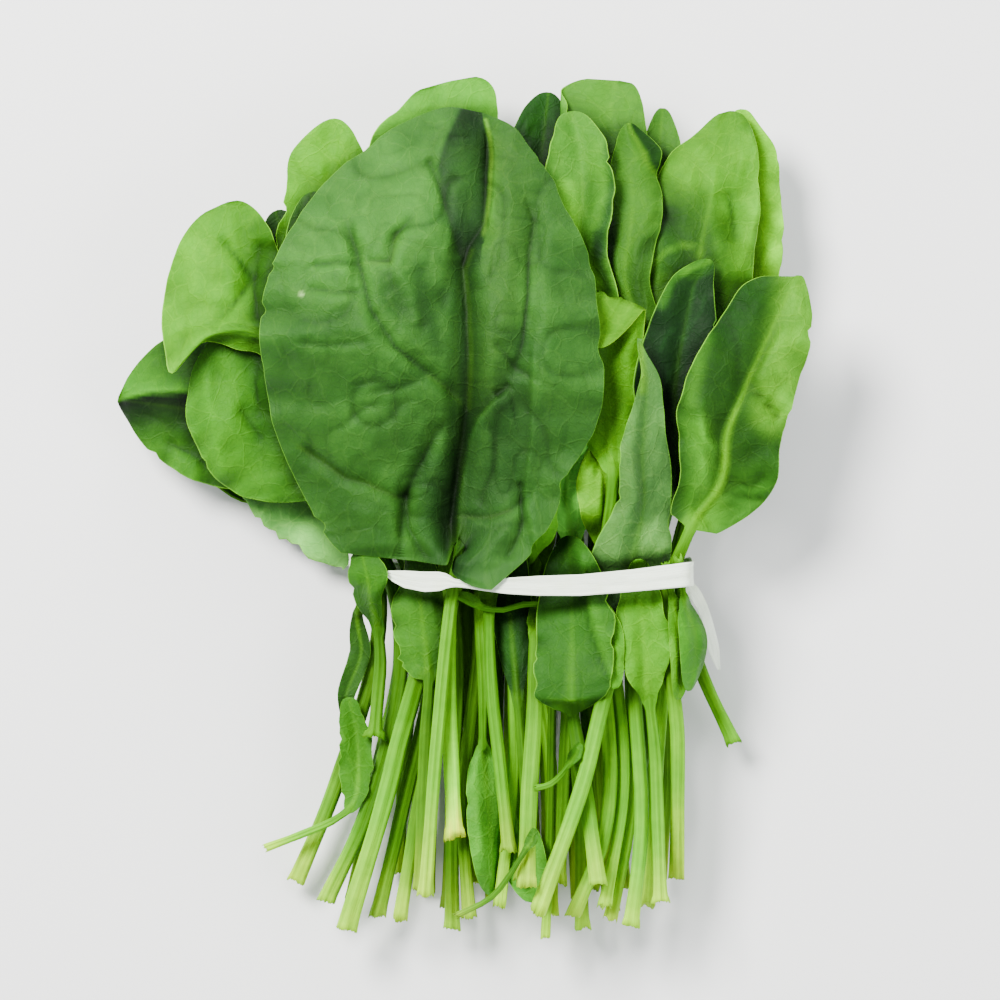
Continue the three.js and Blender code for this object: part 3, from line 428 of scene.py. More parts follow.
def distance_to(x, y, line):
    """Distance to a line of pixels in mm, how far along it the nearest place is, from 0 to 1,
    and which side: positive to the left of its direction."""
    best = np.full(x.shape, 1e9)
    share, side = np.zeros(x.shape), np.ones(x.shape)
    points = np.array([at_pixel(*p) for p in line], float)
    lengths = lengths_of(points)
    starts = running(lengths)
    for (ax, ay), (bx, by), length, start in zip(points[:-1], points[1:], lengths, starts):
        ux, uy = (bx - ax) / length, (by - ay) / length
        f = np.clip((x - ax) * ux + (y - ay) * uy, 0, length)
        dx, dy = x - ax - f * ux, y - ay - f * uy
        d = np.hypot(dx, dy)
        nearer = d < best
        best = np.where(nearer, d, best)
        share = np.where(nearer, (start + f) / starts[-1], share)
        side = np.where(nearer, np.sign(ux * (y - ay) - uy * (x - ax) + 1e-9), side)
    return best, share, side


# ------------------------------------------------------------------ what single leaves show
def numbers_of(text):
    """Rows of a name and numbers, as {name: numbers}."""
    rows = (row.split() for row in text.strip().splitlines())
    return {name: tuple(map(float, rest)) for name, *rest in rows}


def marks(text):
    """A leaf's name, then its rows of numbers, a colon and a line of pixels."""
    found = {}
    for row in text.strip().splitlines():
        numbers, colon, line = row.partition(":")
        if colon:
            points = [tuple(map(float, point.split(","))) for point in line.split()]
            mine.append((points, *map(float, numbers.split())))
        else:
            mine = found[row] = []
    return found


# Creases: depth in mm (negative is a valley) and half-width in mm. They also get painted shade
# along their bottoms and painted light on ridges.
CREASES = marks("""
front_large
  -6 9: 488,118 486,170 485,227 470,250 463,270 467,310 469,360 467,413 458,470 451,520 450,560
  -3.1 5: 428,160 440,190 450,225 460,262
  -3.1 5: 463,403 440,383 430,375 397,350 373,313 365,280 360,257 347,223
  -1.5 3.5: 364,270 340,267 315,270
  -1.5 3.5: 366,296 340,297 310,292
  -1.8 4: 365,266 393,266 397,240 417,220
  -4.2 6: 447,420 427,453 407,493 409,527 428,562
  -2.5 4.5: 417,493 397,497 367,483 347,478 327,463 300,447
  -1.3 3.5: 370,395 400,390 430,378
  -1.1 3.5: 340,430 365,410 385,402
  -1.4 3.5: 300,345 330,348 372,345
  -2 3.5: 404,500 400,560
  -3.6 8: 525,200 533,225 528,260 527,300 522,345 510,385
  -1.3 3.5: 495,345 515,370 540,385
  -2.2 4: 510,385 495,398
  -2.8 5: 520,480 522,520 512,560
  -1.5 3.5: 455,515 490,517 510,510 535,490
  1.3 10: 540,240 545,330 538,420
  2 9: 400,275 415,300 420,330
right_large
  -3 5: 745,385 760,400 778,420
  -1.5 4: 712,478 735,480 750,470
  -1.2 3: 708,488 735,492 757,492
  2.4 6: 700,400 697,440 712,455
  -1.6 8: 722,310 735,350 735,390
left_high
  -2.2 6: 222,240 240,262 254,280 225,320 213,330
  -3.5 10: 262,240 256,290 260,330
left_low
  -2.5 6: 240,405 250,425 262,440
  -2.5 8: 262,350 256,385 262,420
  1.2 5: 205,380 215,430 222,480
far_left
  4 10: 120,398 150,392 185,390 215,400
  -1.8 5: 160,440 195,455 207,470
upper_right
  2.6 7: 748,125 760,165 757,210 748,250
  -2.4 12: 727,190 732,220 735,245
  1.6 6: 716,160 710,220 722,265
top_pale
  -1.2 6: 400,110 430,130 450,120
""")

# Folds: the leaf stands this much higher to the right of the line, in mm, and comes down again
# over this distance, in mm.
FOLDS = marks("""
front_large
  4.5 20: 451,560 455,500 466,440 474,420 492,400 508,389 520,392
  3.2 18: 484,240 489,200 490,160 486,118
  2.4 14: 540,585 520,500 527,440 528,390 528,330
upper_roll
  2 10: 629,120 633,147 639,163 655,178
blade_centre
  1.8 14: 614,692 594,640 587,612 582,588
right_large
  2.6 12: 690,515 705,470 722,425 745,385 770,340 785,315
""")

# Pulls move the margin before it is rolled over: how far the pull at the pixel is felt in mm, and
# the move in mm.
PULLS = marks("""
front_large
  18 -8 -1.5: 482,570
  10 -1 -1.5: 503,583
  12 2 -1.5: 446,556
  16 -1 -3: 486,104
  20 -2 1: 575,480
yellow_young
  26 4 18: 614,296
upper_cup
  14 -2 -1: 575,110
  24 -5 0: 614,245
top_fold
  20 -9 2: 572,105
upper_roll
  14 2 0: 655,200
  22 -5 0: 658,275
  11 6 -.5: 650,150
left_high
  14 -2 -7: 175,372
  38 2 21: 240,417
  16 -1 4.5: 200,398
  14 0 5: 266,420
left_low
  20 0 4: 225,350
right_large
  24 7 0: 664,470
  24 6 -2: 745,490
  17 0 -4.5: 768,262
  12 -1.5 2: 812,285
left_tag
  16 4 0: 343,655
lower_left_pale
  16 4 -5: 332,550
centre_right
  22 5.5 0: 600,500
  16 -4 -2: 652,338
upper_left
  14 -3 -1: 300,150
upper_right
  15 .5 -3.5: 696,120
right_dark
  12 3 -1: 696,258
left_drop
  12 3 0: 343,585
  12 -3 2: 402,600
blade_centre
  9 -4 1: 548,702
  9 3 1: 604,702
far_left
  10 -1 0: 123,398
top_pale
  14 3 0: 492,95
  18 3 -5: 392,90
  14 0 -2.5: 430,80
  10 1 1.5: 478,82
right_back
  14 -3 1: 745,118
  14 2 0: 780,150
""")

# Parts turned over, along a line of two pixels: what lies to the right of it goes up and back,
# by this angle in degrees, round a bend of this radius in mm.
TURNS = marks("""
yellow_young
  168 1.5: 656,320 592,296
top_fold
  150 1.6: 566,84 565,150
""")

# Painted light and painted shade over single places, with some of the leaves' own colour:
# painted shadows in folds, valleys and gaps, painted sheen and lit patches, and lighter vein
# lines. How far it reaches in mm, the factors, and, where only one side of the line is meant,
# that side: 1 for the left of its direction.
PAINTED_LIGHT_AND_TINTS = marks("""
front_large
  15 .3 .32 .45 1: 484,243 489,200 490,160 486,118
  15 .33 .3 .5 1: 464,104 454,126 444,148 438,170 442,195 450,225 459,255
  1.3 4 3 2: 488,116 491,160 489,200 483,238
  1.6 3.2 2.5 1.6: 472,255 465,275 469,310 471,360 469,410
  10 .25 .3 .4: 456,535 466,550 474,568
  7 1.25 1.2 .9 -1: 484,243 489,200 490,160 486,118
  9 .42 .46 .5: 463,270 468,330 469,400 460,455 453,520
  5 .55 .6 .6: 420,270 425,310 437,345
  13 1.05 .95 .9: 505,150 513,230 500,330 487,385
  40 1.7 1.6 1.7: 330,235 385,175 430,215
  9 .6 .62 .7: 522,345 512,385 500,400
  20 .75 .72 .9: 475,550 490,480 520,430
  26 .8 .85 .7: 320,470 390,540
  11 .6 .62 .7: 430,470 440,560
  1.5 1.6 1.35 1.2: 300,447 327,463 347,478 367,483 397,497
  1.4 1.6 1.35 1.2: 455,517 490,517 510,510
  1.4 1.6 1.4 1.2: 430,378 447,390 463,405
  1.4 1.5 1.3 1.2: 365,268 393,268 398,240
  1.3 8 4 10: 305,298 306,299
left_high
  22 1.4 1.3 1.4: 190,250 185,320 180,360
  14 .4 .46 .7: 265,240 262,330
  2.5 .6 .7 .7: 222,240 240,262 250,278
left_low
  13 .5 .6 .6: 262,350 265,430
  14 1.15 1.1 .9: 215,400 230,470
far_left
  26 .12 .06 .7 -1: 118,400 150,392 185,392 215,405
  20 1.1 1.2 1 1: 118,400 150,392 185,392 215,405
  2.5 1.5 1.35 1.2 1: 118,400 150,392 185,392 215,405
upper_right
  6 .6 .66 .7: 732,205 735,240
  20 1.25 1.15 1.1: 695,135 690,160
  18 .3 .32 .8: 672,215 692,245 700,290
  10 .6 .62 .9: 700,205 712,250
  8 1.4 1.3 1.1: 745,150 750,200 745,260
  11 .42 .5 .9: 660,225 670,265
  1.7 2.6 2.2 1.2: 657,260 670,250 686,246 700,254 706,264
right_large
  14 8 5.6 3: 800,280 793,330 775,410
  10 4.5 3.8 3: 690,430 686,480 695,520
  18 2.6 2.4 2: 740,500 720,535
  5 3.4 2.8 2.4: 700,340 688,400
  14 .55 .75 .6: 740,295 722,330
blade_centre
  3.5 .55 .6 .7: 543,707 605,707
  12 1.9 1.65 1.4 1: 583,592 587,612 594,640 613,690
  1.6 .45 .5 .6 -1: 583,592 587,612 594,640 613,690
right_dark
  12 1.5 1.5 1: 690,272 678,300
  3.4 7 5 2.5: 660,305 667,284 682,266 698,257
  4.5 3.2 2.6 1.5: 686,274 700,268 706,262
  1.3 1.7 1.5 1.8: 692,290 684,345 678,400
  1.2 2 1.7 2.2: 684,342 668,332 660,348
  1.2 2 1.7 2.2: 681,368 669,372 662,392
  1.2 2 1.7 2.2: 680,385 692,372 700,348
  1.2 1.7 1.5 1.8: 686,330 698,316 703,298
centre_right
  5 1.25 1.2 1.1: 638,340 622,440 600,530
  16 1.6 1.5 1.5: 595,550 655,550
  2.6 1.8 1.7 .5: 650,342 641,372 640,392
upper_left
  18 1.2 1.15 1.2: 320,140 340,170
yellow_young
  12 .5 .55 1: 600,345 600,420
upper_roll
  16 .1 .2 .2 1: 629,120 633,147 639,163 655,178
  1.2 2.6 2 1: 629,122 633,147 639,163 655,177
  3.5 .3 .34 .5: 611,225 611,300
  8 1.4 1.35 1.2: 620,240 628,300
  7 .45 .5 .6: 655,245 645,300
  6 .5 .55 .6: 615,200 612,300
upper_cup
  12 1.3 1.25 1.8: 575,135 570,170
  4 .3 .34 .8: 609,150 616,215 614,255
  3.5 .3 .35 .5: 608,235 611,290
  5.5 .6 .64 .75: 590,185 597,225 603,255
  5 2.2 2.1 1.3: 565,190 577,225 590,260 600,283
""")

# Linear reflectance of the blades and, along a stalk, at the cut, the knee, the tie, the blade.
TONES = {
    "light": (0.058, 0.240, 0.0040), "mid": (0.026, 0.125, 0.0040), "dark": (0.018, 0.075, 0.0060),
    "pale": (0.070, 0.250, 0.0180), "yellow": (0.078, 0.285, 0.0015),
}
STALKS = np.array([
    (0.42, 0.78, 0.010), (0.150, 0.50, 0.003), (0.090, 0.33, 0.002), (0.065, 0.25, 0.002),
])
UNDERSIDE = np.array((0.075, 0.27, 0.020))
RIB = np.array((0.120, 0.400, 0.004))

# Single leaves: three factors on the blade's tone, and the midrib's strength. Besides a leaf's
# own tone, the factors paint light on leaves that lie deep in shade, such as shade_mid, curl_low
# and blade_low.
LOOKS = numbers_of("""
front_large 1.1 1.12 1.5 .06
top_dark .28 .58 .25 .4
shade_mid 5.8 5 15 .5
shade_left 4 3.6 3 .5
curl_low 2.5 2.3 3 .5
blade_low 2.9 2.5 4 .5
blade_narrow .58 .8 .9 .4
curl_left 1.35 1.35 1.4 .7
top_small 1.2 1.07 2 .7
yellow_under 1.6 1.5 12 .3
tag_outer 2.2 2.7 1.1 .4
torn_left 1.25 1.2 1.6 .6
centre_right 2.6 1.95 4.5 .35
right_dark .13 .21 .28 .15
right_large .17 .22 .9 1
right_back 2.6 2.2 .9 .6
upper_right .8 .78 1 .5
upper_cup .8 .8 2.5 .4
left_high .95 .9 1 .3
upper_left 1.1 1 .9 .5
small_bright 1.15 1 3 .3
yellow_young .95 1 2 .3
blade_centre .75 .75 1.4 .3
left_drop .9 .9 1 .8
far_left 1.2 1.25 1.4 .2
left_low 1.7 1.5 1.8 .2
lower_left_pale 2.5 2.15 4.8 .3
upper_roll 1 .95 1.2 .3
top_fold 1.7 1.3 2 .4
top_pale 1 1.08 2.6 .3
""")
PLAIN_LOOK = (1, 1, 1, 0.7)
# The underside of the yellow leaves, and the leaves whose margin is torn.
YELLOW_UNDERSIDE = np.array((0.05, 0.17, 0.002))
TORN = ("torn_left", "left_drop", "blade_right", "curl_left", "lower_left_pale")
# How much a leaf is quilted, and the flare of its cut end, where that differs.
QUILTED = {"front_large": 0.06, "left_high": 0.6, "left_low": 0.6, "far_left": 0.6}
CRUMPLED = {"front_large": 1.2}
FLARED = {"left_drop": 3.5, "left_tag": 0.5}
# Blades that stand up higher between their neighbours than their solid does, in mm, and the
# leaves that get less painted shade in the hollows although they lie deep.
RAISED = {
    "small_bright": 14, "shade_mid": 13, "shade_left": 6, "curl_low": 7, "blade_low": 8,
    "yellow_young": 4,
}
OPEN = (*RAISED, "upper_cup", "upper_roll", "yellow_under")
# Loose stems: thinner and darker than a leaf's stalk. And single stalks' brightness.
STEMS = ("thin_stem", "cross_low", "cross_stem")
STEM_FACTORS = (0.5, 0.55, 1)
STALK_LOOKS, PLAIN_STALK = {"mid_stalk": 1.6, "left_drop": 0.45}, 0.9

# Bases drawn out more exactly, on the left and on the right: how far the lobe hangs, how fast
# the blade gets its width and its lobe, and how straight the lobe runs out from the midrib.
BASES = {
    "front_large": ((17, 26), (1.0, 1.3), (0.22, 0.6), 1),
    "blade_centre": ((-1, -1), (0.9, 0.9), (1.2, 1.2), 2),
}
PLAIN_BASE = (0.75, 0.75), (1.2, 1.2), 2

LATERAL_STEP = 13  # mm between side veins
LATERAL_LEAN = 0.3
STALK_SLIMMED, STEM_SLIMMED = (0.8, 0.93), 0.75  # a stalk at its cut and at its knee; a stem
THIN, THINNEST = 0.3, 0.12  # half the thickness of a blade here, and the least anywhere
EDGE_WIDTH = 0.3  # the least width of a blade beside its rib
KNOB = 6  # mm: a base that stands up more than this between its neighbours is let down
CUT_ROWS = [0, 0.02, 0.05, 0.09]
STALK_PITCH, LEAST_STALK_ROWS, LEAST_BLADE_ROWS = 4.0, 6, 14
WIDEST, FULL_SIZE, WIDE = 90, 60, 30  # mm across the blade


def fineness(one):
    """Columns on each side of the blade, and the pitch of its rows in mm."""
    wide = sum(one.widths)
    if wide > WIDEST:
        return 80, 0.66
    if one.few:
        return 10, 2.6
    return (20 if wide > WIDE else 11), 1.5


def columns_of(one):
    """Of each column from left to right: which side it is on, and its share of the rib's
    radius, of the blade's width and of a stalk's radius."""
    count, _ = fineness(one)
    rib = np.concatenate([[0, 0.5, 1], np.ones(count)])
    blade = np.concatenate([[0, 0, 0], 1 - (1 - np.linspace(0, 1, count + 1)[1:]) ** 1.25])
    last = count + 2
    order = np.arange(-last, last + 1)
    at = np.abs(order)
    return np.sign(order), rib[at], blade[at], np.sin(np.pi / 2 * at / last)


def rows_of(one):
    """q of each row, closer at the cut end and at both ends of the blade, and its length."""
    steps = lengths_of(one.path)
    run = running(steps[:3])
    count = max(LEAST_STALK_ROWS, int(run[-1] / STALK_PITCH))
    stalk = np.interp(np.linspace(0, run[-1], count + 1), run, [0, 1, 2, BASE_Q])[:-1]
    length = steps[3] + steps[4]
    u = np.linspace(0, 1, max(LEAST_BLADE_ROWS, int(length / fineness(one)[1])) + 1)
    blade = mix(u, 0.5 - 0.5 * np.cos(np.pi * u), 0.65)
    stalk = stalk[stalk > CUT_ROWS[-1] + 0.02]
    return np.concatenate([CUT_ROWS, stalk, BASE_Q + 2 * blade]), length


def turn_over(grid, line, degrees, radius):
    """Rolls the part of the blade that lies to the right of the line up and back over."""
    (ax, ay), (bx, by) = at_pixel(*line[0]), at_pixel(*line[1])
    length = math.hypot(bx - ax, by - ay)
    ux, uy = (bx - ax) / length, (by - ay) / length
    ox, oy = uy, -ux
    x, y = grid.x, grid.y
    along = (x - ax) * ux + (y - ay) * uy
    beyond = (x - ax) * ox + (y - ay) * oy
    inside = (along > -4) & (along < length + 4) & (grid.s > 0.2)
    beyond = np.where(inside, np.maximum(beyond, 0), 0)
    most = math.radians(degrees)
    angle = np.minimum(beyond / radius, most)
    rest = np.maximum(0, beyond - radius * most)
    across = radius * np.sin(angle) + rest * math.cos(most)
    grid.x = x + ox * (across - beyond)
    grid.y = y + oy * (across - beyond)
    grid.z = grid.z + radius * (1 - np.cos(angle)) + rest * math.sin(most)
    grid.normal = np.where(
        (angle > 0)[..., None],
        np.stack([-np.sin(angle) * ox, -np.sin(angle) * oy, np.cos(angle)], axis=-1),
        grid.normal,
    )


def outline(one, index, s, length, right, first, widens):
    """The blade's full width at each place, and its width with an irregular margin."""
    near, grown = np.maximum(s, first), np.clip(s / first, 0, 1)
    full = of_side(right, [blade_width(one, near, side) for side in (0, 1)])
    arc = s * length

    def waver(pitch, shift, salt=0.0):
        return noise(arc / pitch + shift * right, 0 * arc, index + salt)

    width = mix(EDGE_WIDTH, full, grown ** of_side(right, widens))
    uneven = 0.9 * waver(11, 31) + 0.35 * waver(4, 17)
    nick = np.maximum(0, waver(7, 9, 0.5) - 0.62) * 7
    if one.name in TORN:
        nick = nick + 3.2 * np.abs(waver(3.1, 5, 0.7)) * smooth(s / 0.1)
    room = np.clip(full / 12, 0, 1) * smooth((1 - s) / 0.1) * grown
    return full, np.maximum(EDGE_WIDTH, width + (uneven - nick) * room)


def shape_relief(grid, length, right, rng):
    """How far each place stands off the CAD's surface, with the count of side veins and the
    depth of the crumples."""
    one, s, t, x, y = grid.leaf, grid.s, grid.t, grid.x, grid.y
    name, index, wide, on = one.name, grid.index, sum(one.widths), s > 0
    size = min(1, wide / FULL_SIZE)
    middling = np.sin(np.pi * np.clip(s, 0, 1))

    def lumps(pitch, salt=0.0):
        return noise(x / pitch, y / pitch, index + salt)

    # side veins, and the blade quilted up between them
    count = max(3, round(length / LATERAL_STEP))
    start = s - LATERAL_LEAN * t**0.9 * (1 - s) ** 0.6
    lateral = count * start + 0.4 * right + 0.2 * noise(s * 4, t * 2 + 9 * right, index)
    cell = np.floor(lateral).astype(int)
    across = 2.4 * t + 0.5 * cell + 0.5 * noise(s * 9, t * 4, index + 0.5)
    puff = 0.75 + 0.55 * pick(cell + 7 * right, np.floor(across).astype(int) + index)
    quilt = 0.5 + 0.5 * puff * np.abs(np.sin(np.pi * across)) ** 0.8
    quilt = np.abs(np.sin(np.pi * lateral)) ** 0.75 * quilt
    on_blade = np.where(on, smooth((np.abs(grid.offset) - grid.rib) / 5) * (1 - 0.5 * t**3), 0)
    ends_in = smooth(s / 0.12) * smooth((1 - s) / 0.1)
    relief = QUILTED.get(name, 1) * mix(0.45, 1.5, size) * (quilt - 0.4) * on_blade * ends_in
    relief += 2.1 * size * lumps(23) * on_blade
    relief += mix(0.4, 1.0, size) * lumps(9.5, 0.3) * on_blade
    relief += (0.45 if wide > WIDEST else 0.3) * lumps(4.1, 0.6) * on_blade
    # crumples: thin valleys that wander over the blade
    crumple = (1 - np.abs(lumps(17, 0.2))) ** 6 + 0.5 * (1 - np.abs(lumps(8, 0.8))) ** 6
    crumple *= CRUMPLED.get(name, 0.75 * size) * on_blade * ends_in
    relief -= crumple
    # the ruffled margin
    phase = rng.uniform(0, 6.28)
    waves = 2.2 + length / 45
    ruffle = np.sin(2 * np.pi * waves * s + phase + 2 * right)
    ruffle += 0.6 * np.sin(2 * np.pi * (waves * 2.1 * s) + 2.3 * phase)
    relief += mix(0.6, 1.9, size) * t**4 * ruffle * middling * on
    # the valley along the midrib
    valley = bell(grid.offset / mix(2.5, 5, size)) * middling**0.5
    relief -= np.where(on, mix(0.8, 1.7, size) * valley, 0)
    for line, depth, reach in CREASES.get(name, ()):
        d, share, _ = distance_to(x, y, line)
        valley = np.maximum(0, 1 - d / reach) ** 1.6
        relief += depth * valley * tapered(share, 0.12, 0.25) * on
    for line, height, reach in FOLDS.get(name, ()):
        d, share, hand = distance_to(x, y, line)
        rise = smooth(d / 2.0) * np.maximum(0, 1 - d / reach) ** 1.5
        relief += np.where(hand < 0, height * rise, 0) * tapered(share, 0.2) * on
    return relief, lateral, crumple


def shape_faces(grid, rng):
    """How far the upper and the lower face lie off the middle, and the stalk's ribbing and groove,
    which give its colour painted light and shade.
    """
    q, radius, t = grid.q[:, None], grid.rib, grid.t
    out = np.clip(np.abs(grid.offset) / radius, 0, 1)
    arc = np.sqrt(np.maximum(0, 1 - out**2))
    angle = np.arctan2(arc, np.sign(grid.offset) * out)
    groove_at = np.pi / 2 + rng.uniform(-0.7, 0.7)
    ribbing = np.cos(7 * angle + (0.5 * q + rng.uniform(0, 6)))
    groove = 1 - 0.24 * bell((angle - groove_at) / 0.34)
    stalk_up = radius * arc * (1 + 0.045 * ribbing) * groove
    stalk_down = radius * arc * (1 + 0.06 * np.cos(7 * angle + rng.uniform(0, 6)))
    thin = THIN * (1 - 0.45 * t**2)
    flat = np.where(grid.s > 0, smooth(grid.s / 0.35), 0)
    rib_up = mix(stalk_up, 0.35 * radius * arc, flat)
    rib_down = radius * arc * mix(1, 0.9, flat)
    up, down = (
        np.maximum(mix(stalk, np.maximum(thin, rib), grid.melt), THINNEST)
        for stalk, rib in ((stalk_up, rib_up), (stalk_down, rib_down))
    )
    return up, down, ribbing - 2.2 * (1 - groove)


def lay_out(one, index):
    """The fine grid of one leaf: the middle surface, the offsets of both faces, and what the
    material reads."""
    rng = np.random.default_rng(SEED + index)
    cad_q, cad_t, cad_z, first = cad_grid(one)
    base = int(np.argmax(cad_q == BASE_Q))
    middle = cad_z[:, len(cad_t) // 2]
    before, after = middle[base - 1], middle[base + 1]
    if middle[base] > max(before, after) + KNOB:
        cad_z[base] = (before + after) / 2

    q, length = rows_of(one)
    rows, s = frame_rows(one, q)
    rib = rib_radius(one, q) * np.where(q < BASE_Q, mix(*STALK_SLIMMED, smooth(q)), 1)
    rib = (rib * (STEM_SLIMMED if one.name in STEMS else 1))[:, None]
    sign, rib_share, blade_share, spread = columns_of(one)
    right = (sign > 0).astype(int)
    lobes, widens, hangs, bend = BASES.get(one.name, (one.lobe, *PLAIN_BASE))
    full, width = outline(one, index, s, length, right, first, widens)
    melt = smooth((q - 2.7) / 0.3)[:, None]
    offset = mix(rib * spread, rib * rib_share + width * blade_share, melt)
    half = np.where(s > 0, rib + width, np.maximum(rib, offset.max(axis=1)[:, None]))
    t = np.clip(offset / half, 0, 1)
    swept = of_side(right, lobes) * (1 - np.maximum(s, first)) ** LOBE_FADE
    swept = mix(SHOULDER * rib, swept, np.clip(s / first, 0, 1) ** of_side(right, hangs))
    back = np.where(q[:, None] < BASE_Q, 0, swept * t**bend)
    x, y = lay(rows, sign, offset, back)
    by_row = pchip(cad_q, cad_z, q)
    z = [pchip(cad_t, row[:, None], at)[:, 0] for row, at in zip(by_row, np.clip(sign * t, -1, 1))]

    grid = SimpleNamespace(
        leaf=one, index=index, q=q, s=s, x=x, y=y, t=t, rib=rib, offset=offset * sign, melt=melt,
        full=full, plain=(x, y),
        normal=np.broadcast_to(np.array([0.0, 0.0, 1.0]), x.shape + (3,)).copy(),
    )
    grid.relief, grid.lateral, grid.crumple = shape_relief(grid, length, right, rng)
    grid.z = z + (grid.relief + RAISED.get(one.name, 0) * smooth(s / 0.35))
    grid.up, grid.down, grid.ribbing = shape_faces(grid, rng)
    for [place], reach, dx, dy in PULLS.get(one.name, ()):
        px, py = at_pixel(*place)
        pull = smooth(1 - np.hypot(x - px, y - py) / reach) * (s > 0)
        grid.x = grid.x + dx * pull
        grid.y = grid.y + dy * pull
    for line, degrees, radius in TURNS.get(one.name, ()):
        turn_over(grid, line, degrees, radius)
    return grid


# ------------------------------------------------------------------ keeping the leaves apart
CELL = 1.25  # mm
FIELD = 264  # cells along each side
GAP, TAPE_GAP = 0.12, 0.4  # mm left between two leaves, and over the tape
MOST_SUNK, MOST_LIFTED = 4.5, 7  # mm
HOLLOWS = ((2.5, 0.3), (6, 0.4), (12, 0.3))  # how far a neighbour's painted shade reaches in mm, and its weight
LATE_BLADES = ("blade_centre",)
OVER_TAPE = ("left_drop", "cross_stem", "front_large")


def cells(x, y):
    return tuple(
        np.clip(((a + FIELD * CELL / 2) / CELL).astype(int), 0, FIELD - 1) for a in (x, y)
    )


def denser(a, n=3):
    for axis in (0, 1):
        k = a.shape[axis]
        at = np.linspace(0, k - 1, (k - 1) * n + 1)
        i = np.minimum(at.astype(int), k - 2)
        f = at - i
        f = f[:, None] if axis == 0 else f[None, :]
        a = mix(np.take(a, i, axis), np.take(a, i + 1, axis), f)
    return a


def soften(a, passes):
    for _ in range(passes):
        p = np.pad(a, 1, mode="edge")
        a = (p[:-2, 1:-1] + p[2:, 1:-1] + p[1:-1, :-2] + p[1:-1, 2:] + 2 * a) / 6
    return a


def widen(a):
    p = np.pad(a, 1, mode="edge")
    return np.max([p[1:-1, 1:-1], p[:-2, 1:-1], p[2:, 1:-1], p[1:-1, :-2], p[1:-1, 2:]], axis=0)


def segments(grids, tape):
    """Everything in the order it was laid: a late blade, and a blade over the tape, lies apart
    from its own stalk."""
    def parts(grid):
        base = int((grid.q < BASE_Q).sum())
        return (grid, slice(0, base + 1)), (grid, slice(base, None))

    def whole(grids):
        return [(grid, slice(0, None)) for grid in grids]

    order, blades = [], []
    for grid in grids:
        if grid.leaf.name in LATE_BLADES:
            stalk, blade = parts(grid)
            order.append(stalk)
            blades.append(blade)
        elif grid.leaf.name not in OVER_TAPE:
            order += whole([grid])
    stalk, blade = parts(grids[-1])
    over = [grid for grid in grids if grid.leaf.name in OVER_TAPE[:-1]]
    return [*order, *blades, stalk, *whole([tape, *over]), blade]


def settle(order):
    """From the topmost piece down, each gives way where it would poke through one above it."""
    ceiling = np.full((FIELD, FIELD), 1e3)
    for grid, rows in reversed(order):
        x, y, z, up, down = (part[rows] for part in (grid.x, grid.y, grid.z, grid.up, grid.down))
        if grid.leaf:
            room = ceiling[cells(x, y)] - GAP - (z + up)
            sink = np.clip(-room, 0, MOST_SUNK + RAISED.get(grid.leaf.name, 0))
            stalk = grid.q[rows] < BASE_Q
            sink[stalk] = sink[stalk].max(axis=1)[:, None]
            sink = soften(widen(sink), 2)
            sink[stalk] = sink[stalk].mean(axis=1)[:, None]
            if rows.start == 0 and rows.stop is not None:
                sink *= np.clip(np.arange(len(sink))[::-1] / 5, 0, 1)[:, None]
            z = np.maximum(z - sink, down)
            grid.z[rows] = z
        np.minimum.at(ceiling, cells(denser(x), denser(y)), denser(z - down))


def tops(pieces):
    """The height of the topmost piece over each cell."""
    top = np.full((FIELD, FIELD), -1e3)
    for piece in pieces:
        place = cells(denser(piece.x), denser(piece.y))
        np.maximum.at(top, place, denser(piece.z + piece.up))
    return top


def rest_on(grid, under):
    """Lifts a blade where it would pass through what lies under it."""
    lift = tops([under])[cells(grid.x, grid.y)] + TAPE_GAP - (grid.z - grid.down)
    lift = np.clip(lift, 0, MOST_LIFTED)
    for _ in range(5):
        lift = widen(lift)
    grid.z = grid.z + soften(lift, 40) * smooth((grid.q - 2.6) / 0.4)[:, None]


def shade_hollows(grids, tape):
    """How far each place is overtopped by what stands round it, from 0 to about 1: the strength of
    the painted shade in the hollows.
    """
    top = tops([*grids, tape])
    for grid in grids:
        total = np.zeros_like(grid.z)
        for reach, weight in HOLLOWS:
            for angle in np.arange(8) * np.pi / 4 + reach:
                there = cells(grid.x + reach * np.cos(angle), grid.y + reach * np.sin(angle))
                total += weight / 8 * np.clip((top[there] - grid.z - 1.2) / reach, 0, 1.6)
        grid.hollow = soften(total, 2)


# ------------------------------------------------------------------ colours
BROKEN_OFF = -100  # mm: a stem cut above this broke off in the bundle
STALK_STOPS = [0, 0.7, 2, BASE_Q]  # q of the four colours of a stalk
BESIDE_RIB = (1.5, 1.25, 1.0)  # factors
DEEP_CREASE, FULL_CREASE = -4, 2.2  # mm: deeper than this its own slopes shade it, so its painted shade is weaker; the depth at which the painted shade of a crease is darkest
SHADE_OPEN, SHADE_STALK, SHADE_BLADE = 0.2, 0.55, 0.68  # painted shade in the deepest hollow


def stalk_colour(grid, jitter, rng):
    one, bright = grid.leaf, 1 + rng.uniform(-0.16, 0.2)
    # a stem broken off in the bundle has no bleached end
    stops = STALKS if one.path[0, 1] < BROKEN_OFF else STALKS[[1, 1, 2, 3]]
    stops = stops * jitter * [bright, bright, 1]
    if one.name in STEMS:
        stops = stops * STEM_FACTORS
    stops = stops * STALK_LOOKS.get(one.name, PLAIN_STALK)
    stalk = np.stack([np.interp(grid.q, STALK_STOPS, column) for column in stops.T], axis=1)
    # painted light on the stalk's ribs, painted shade between them and in its groove
    return stalk[:, None] * (1 + 0.09 * grid.ribbing[..., None])


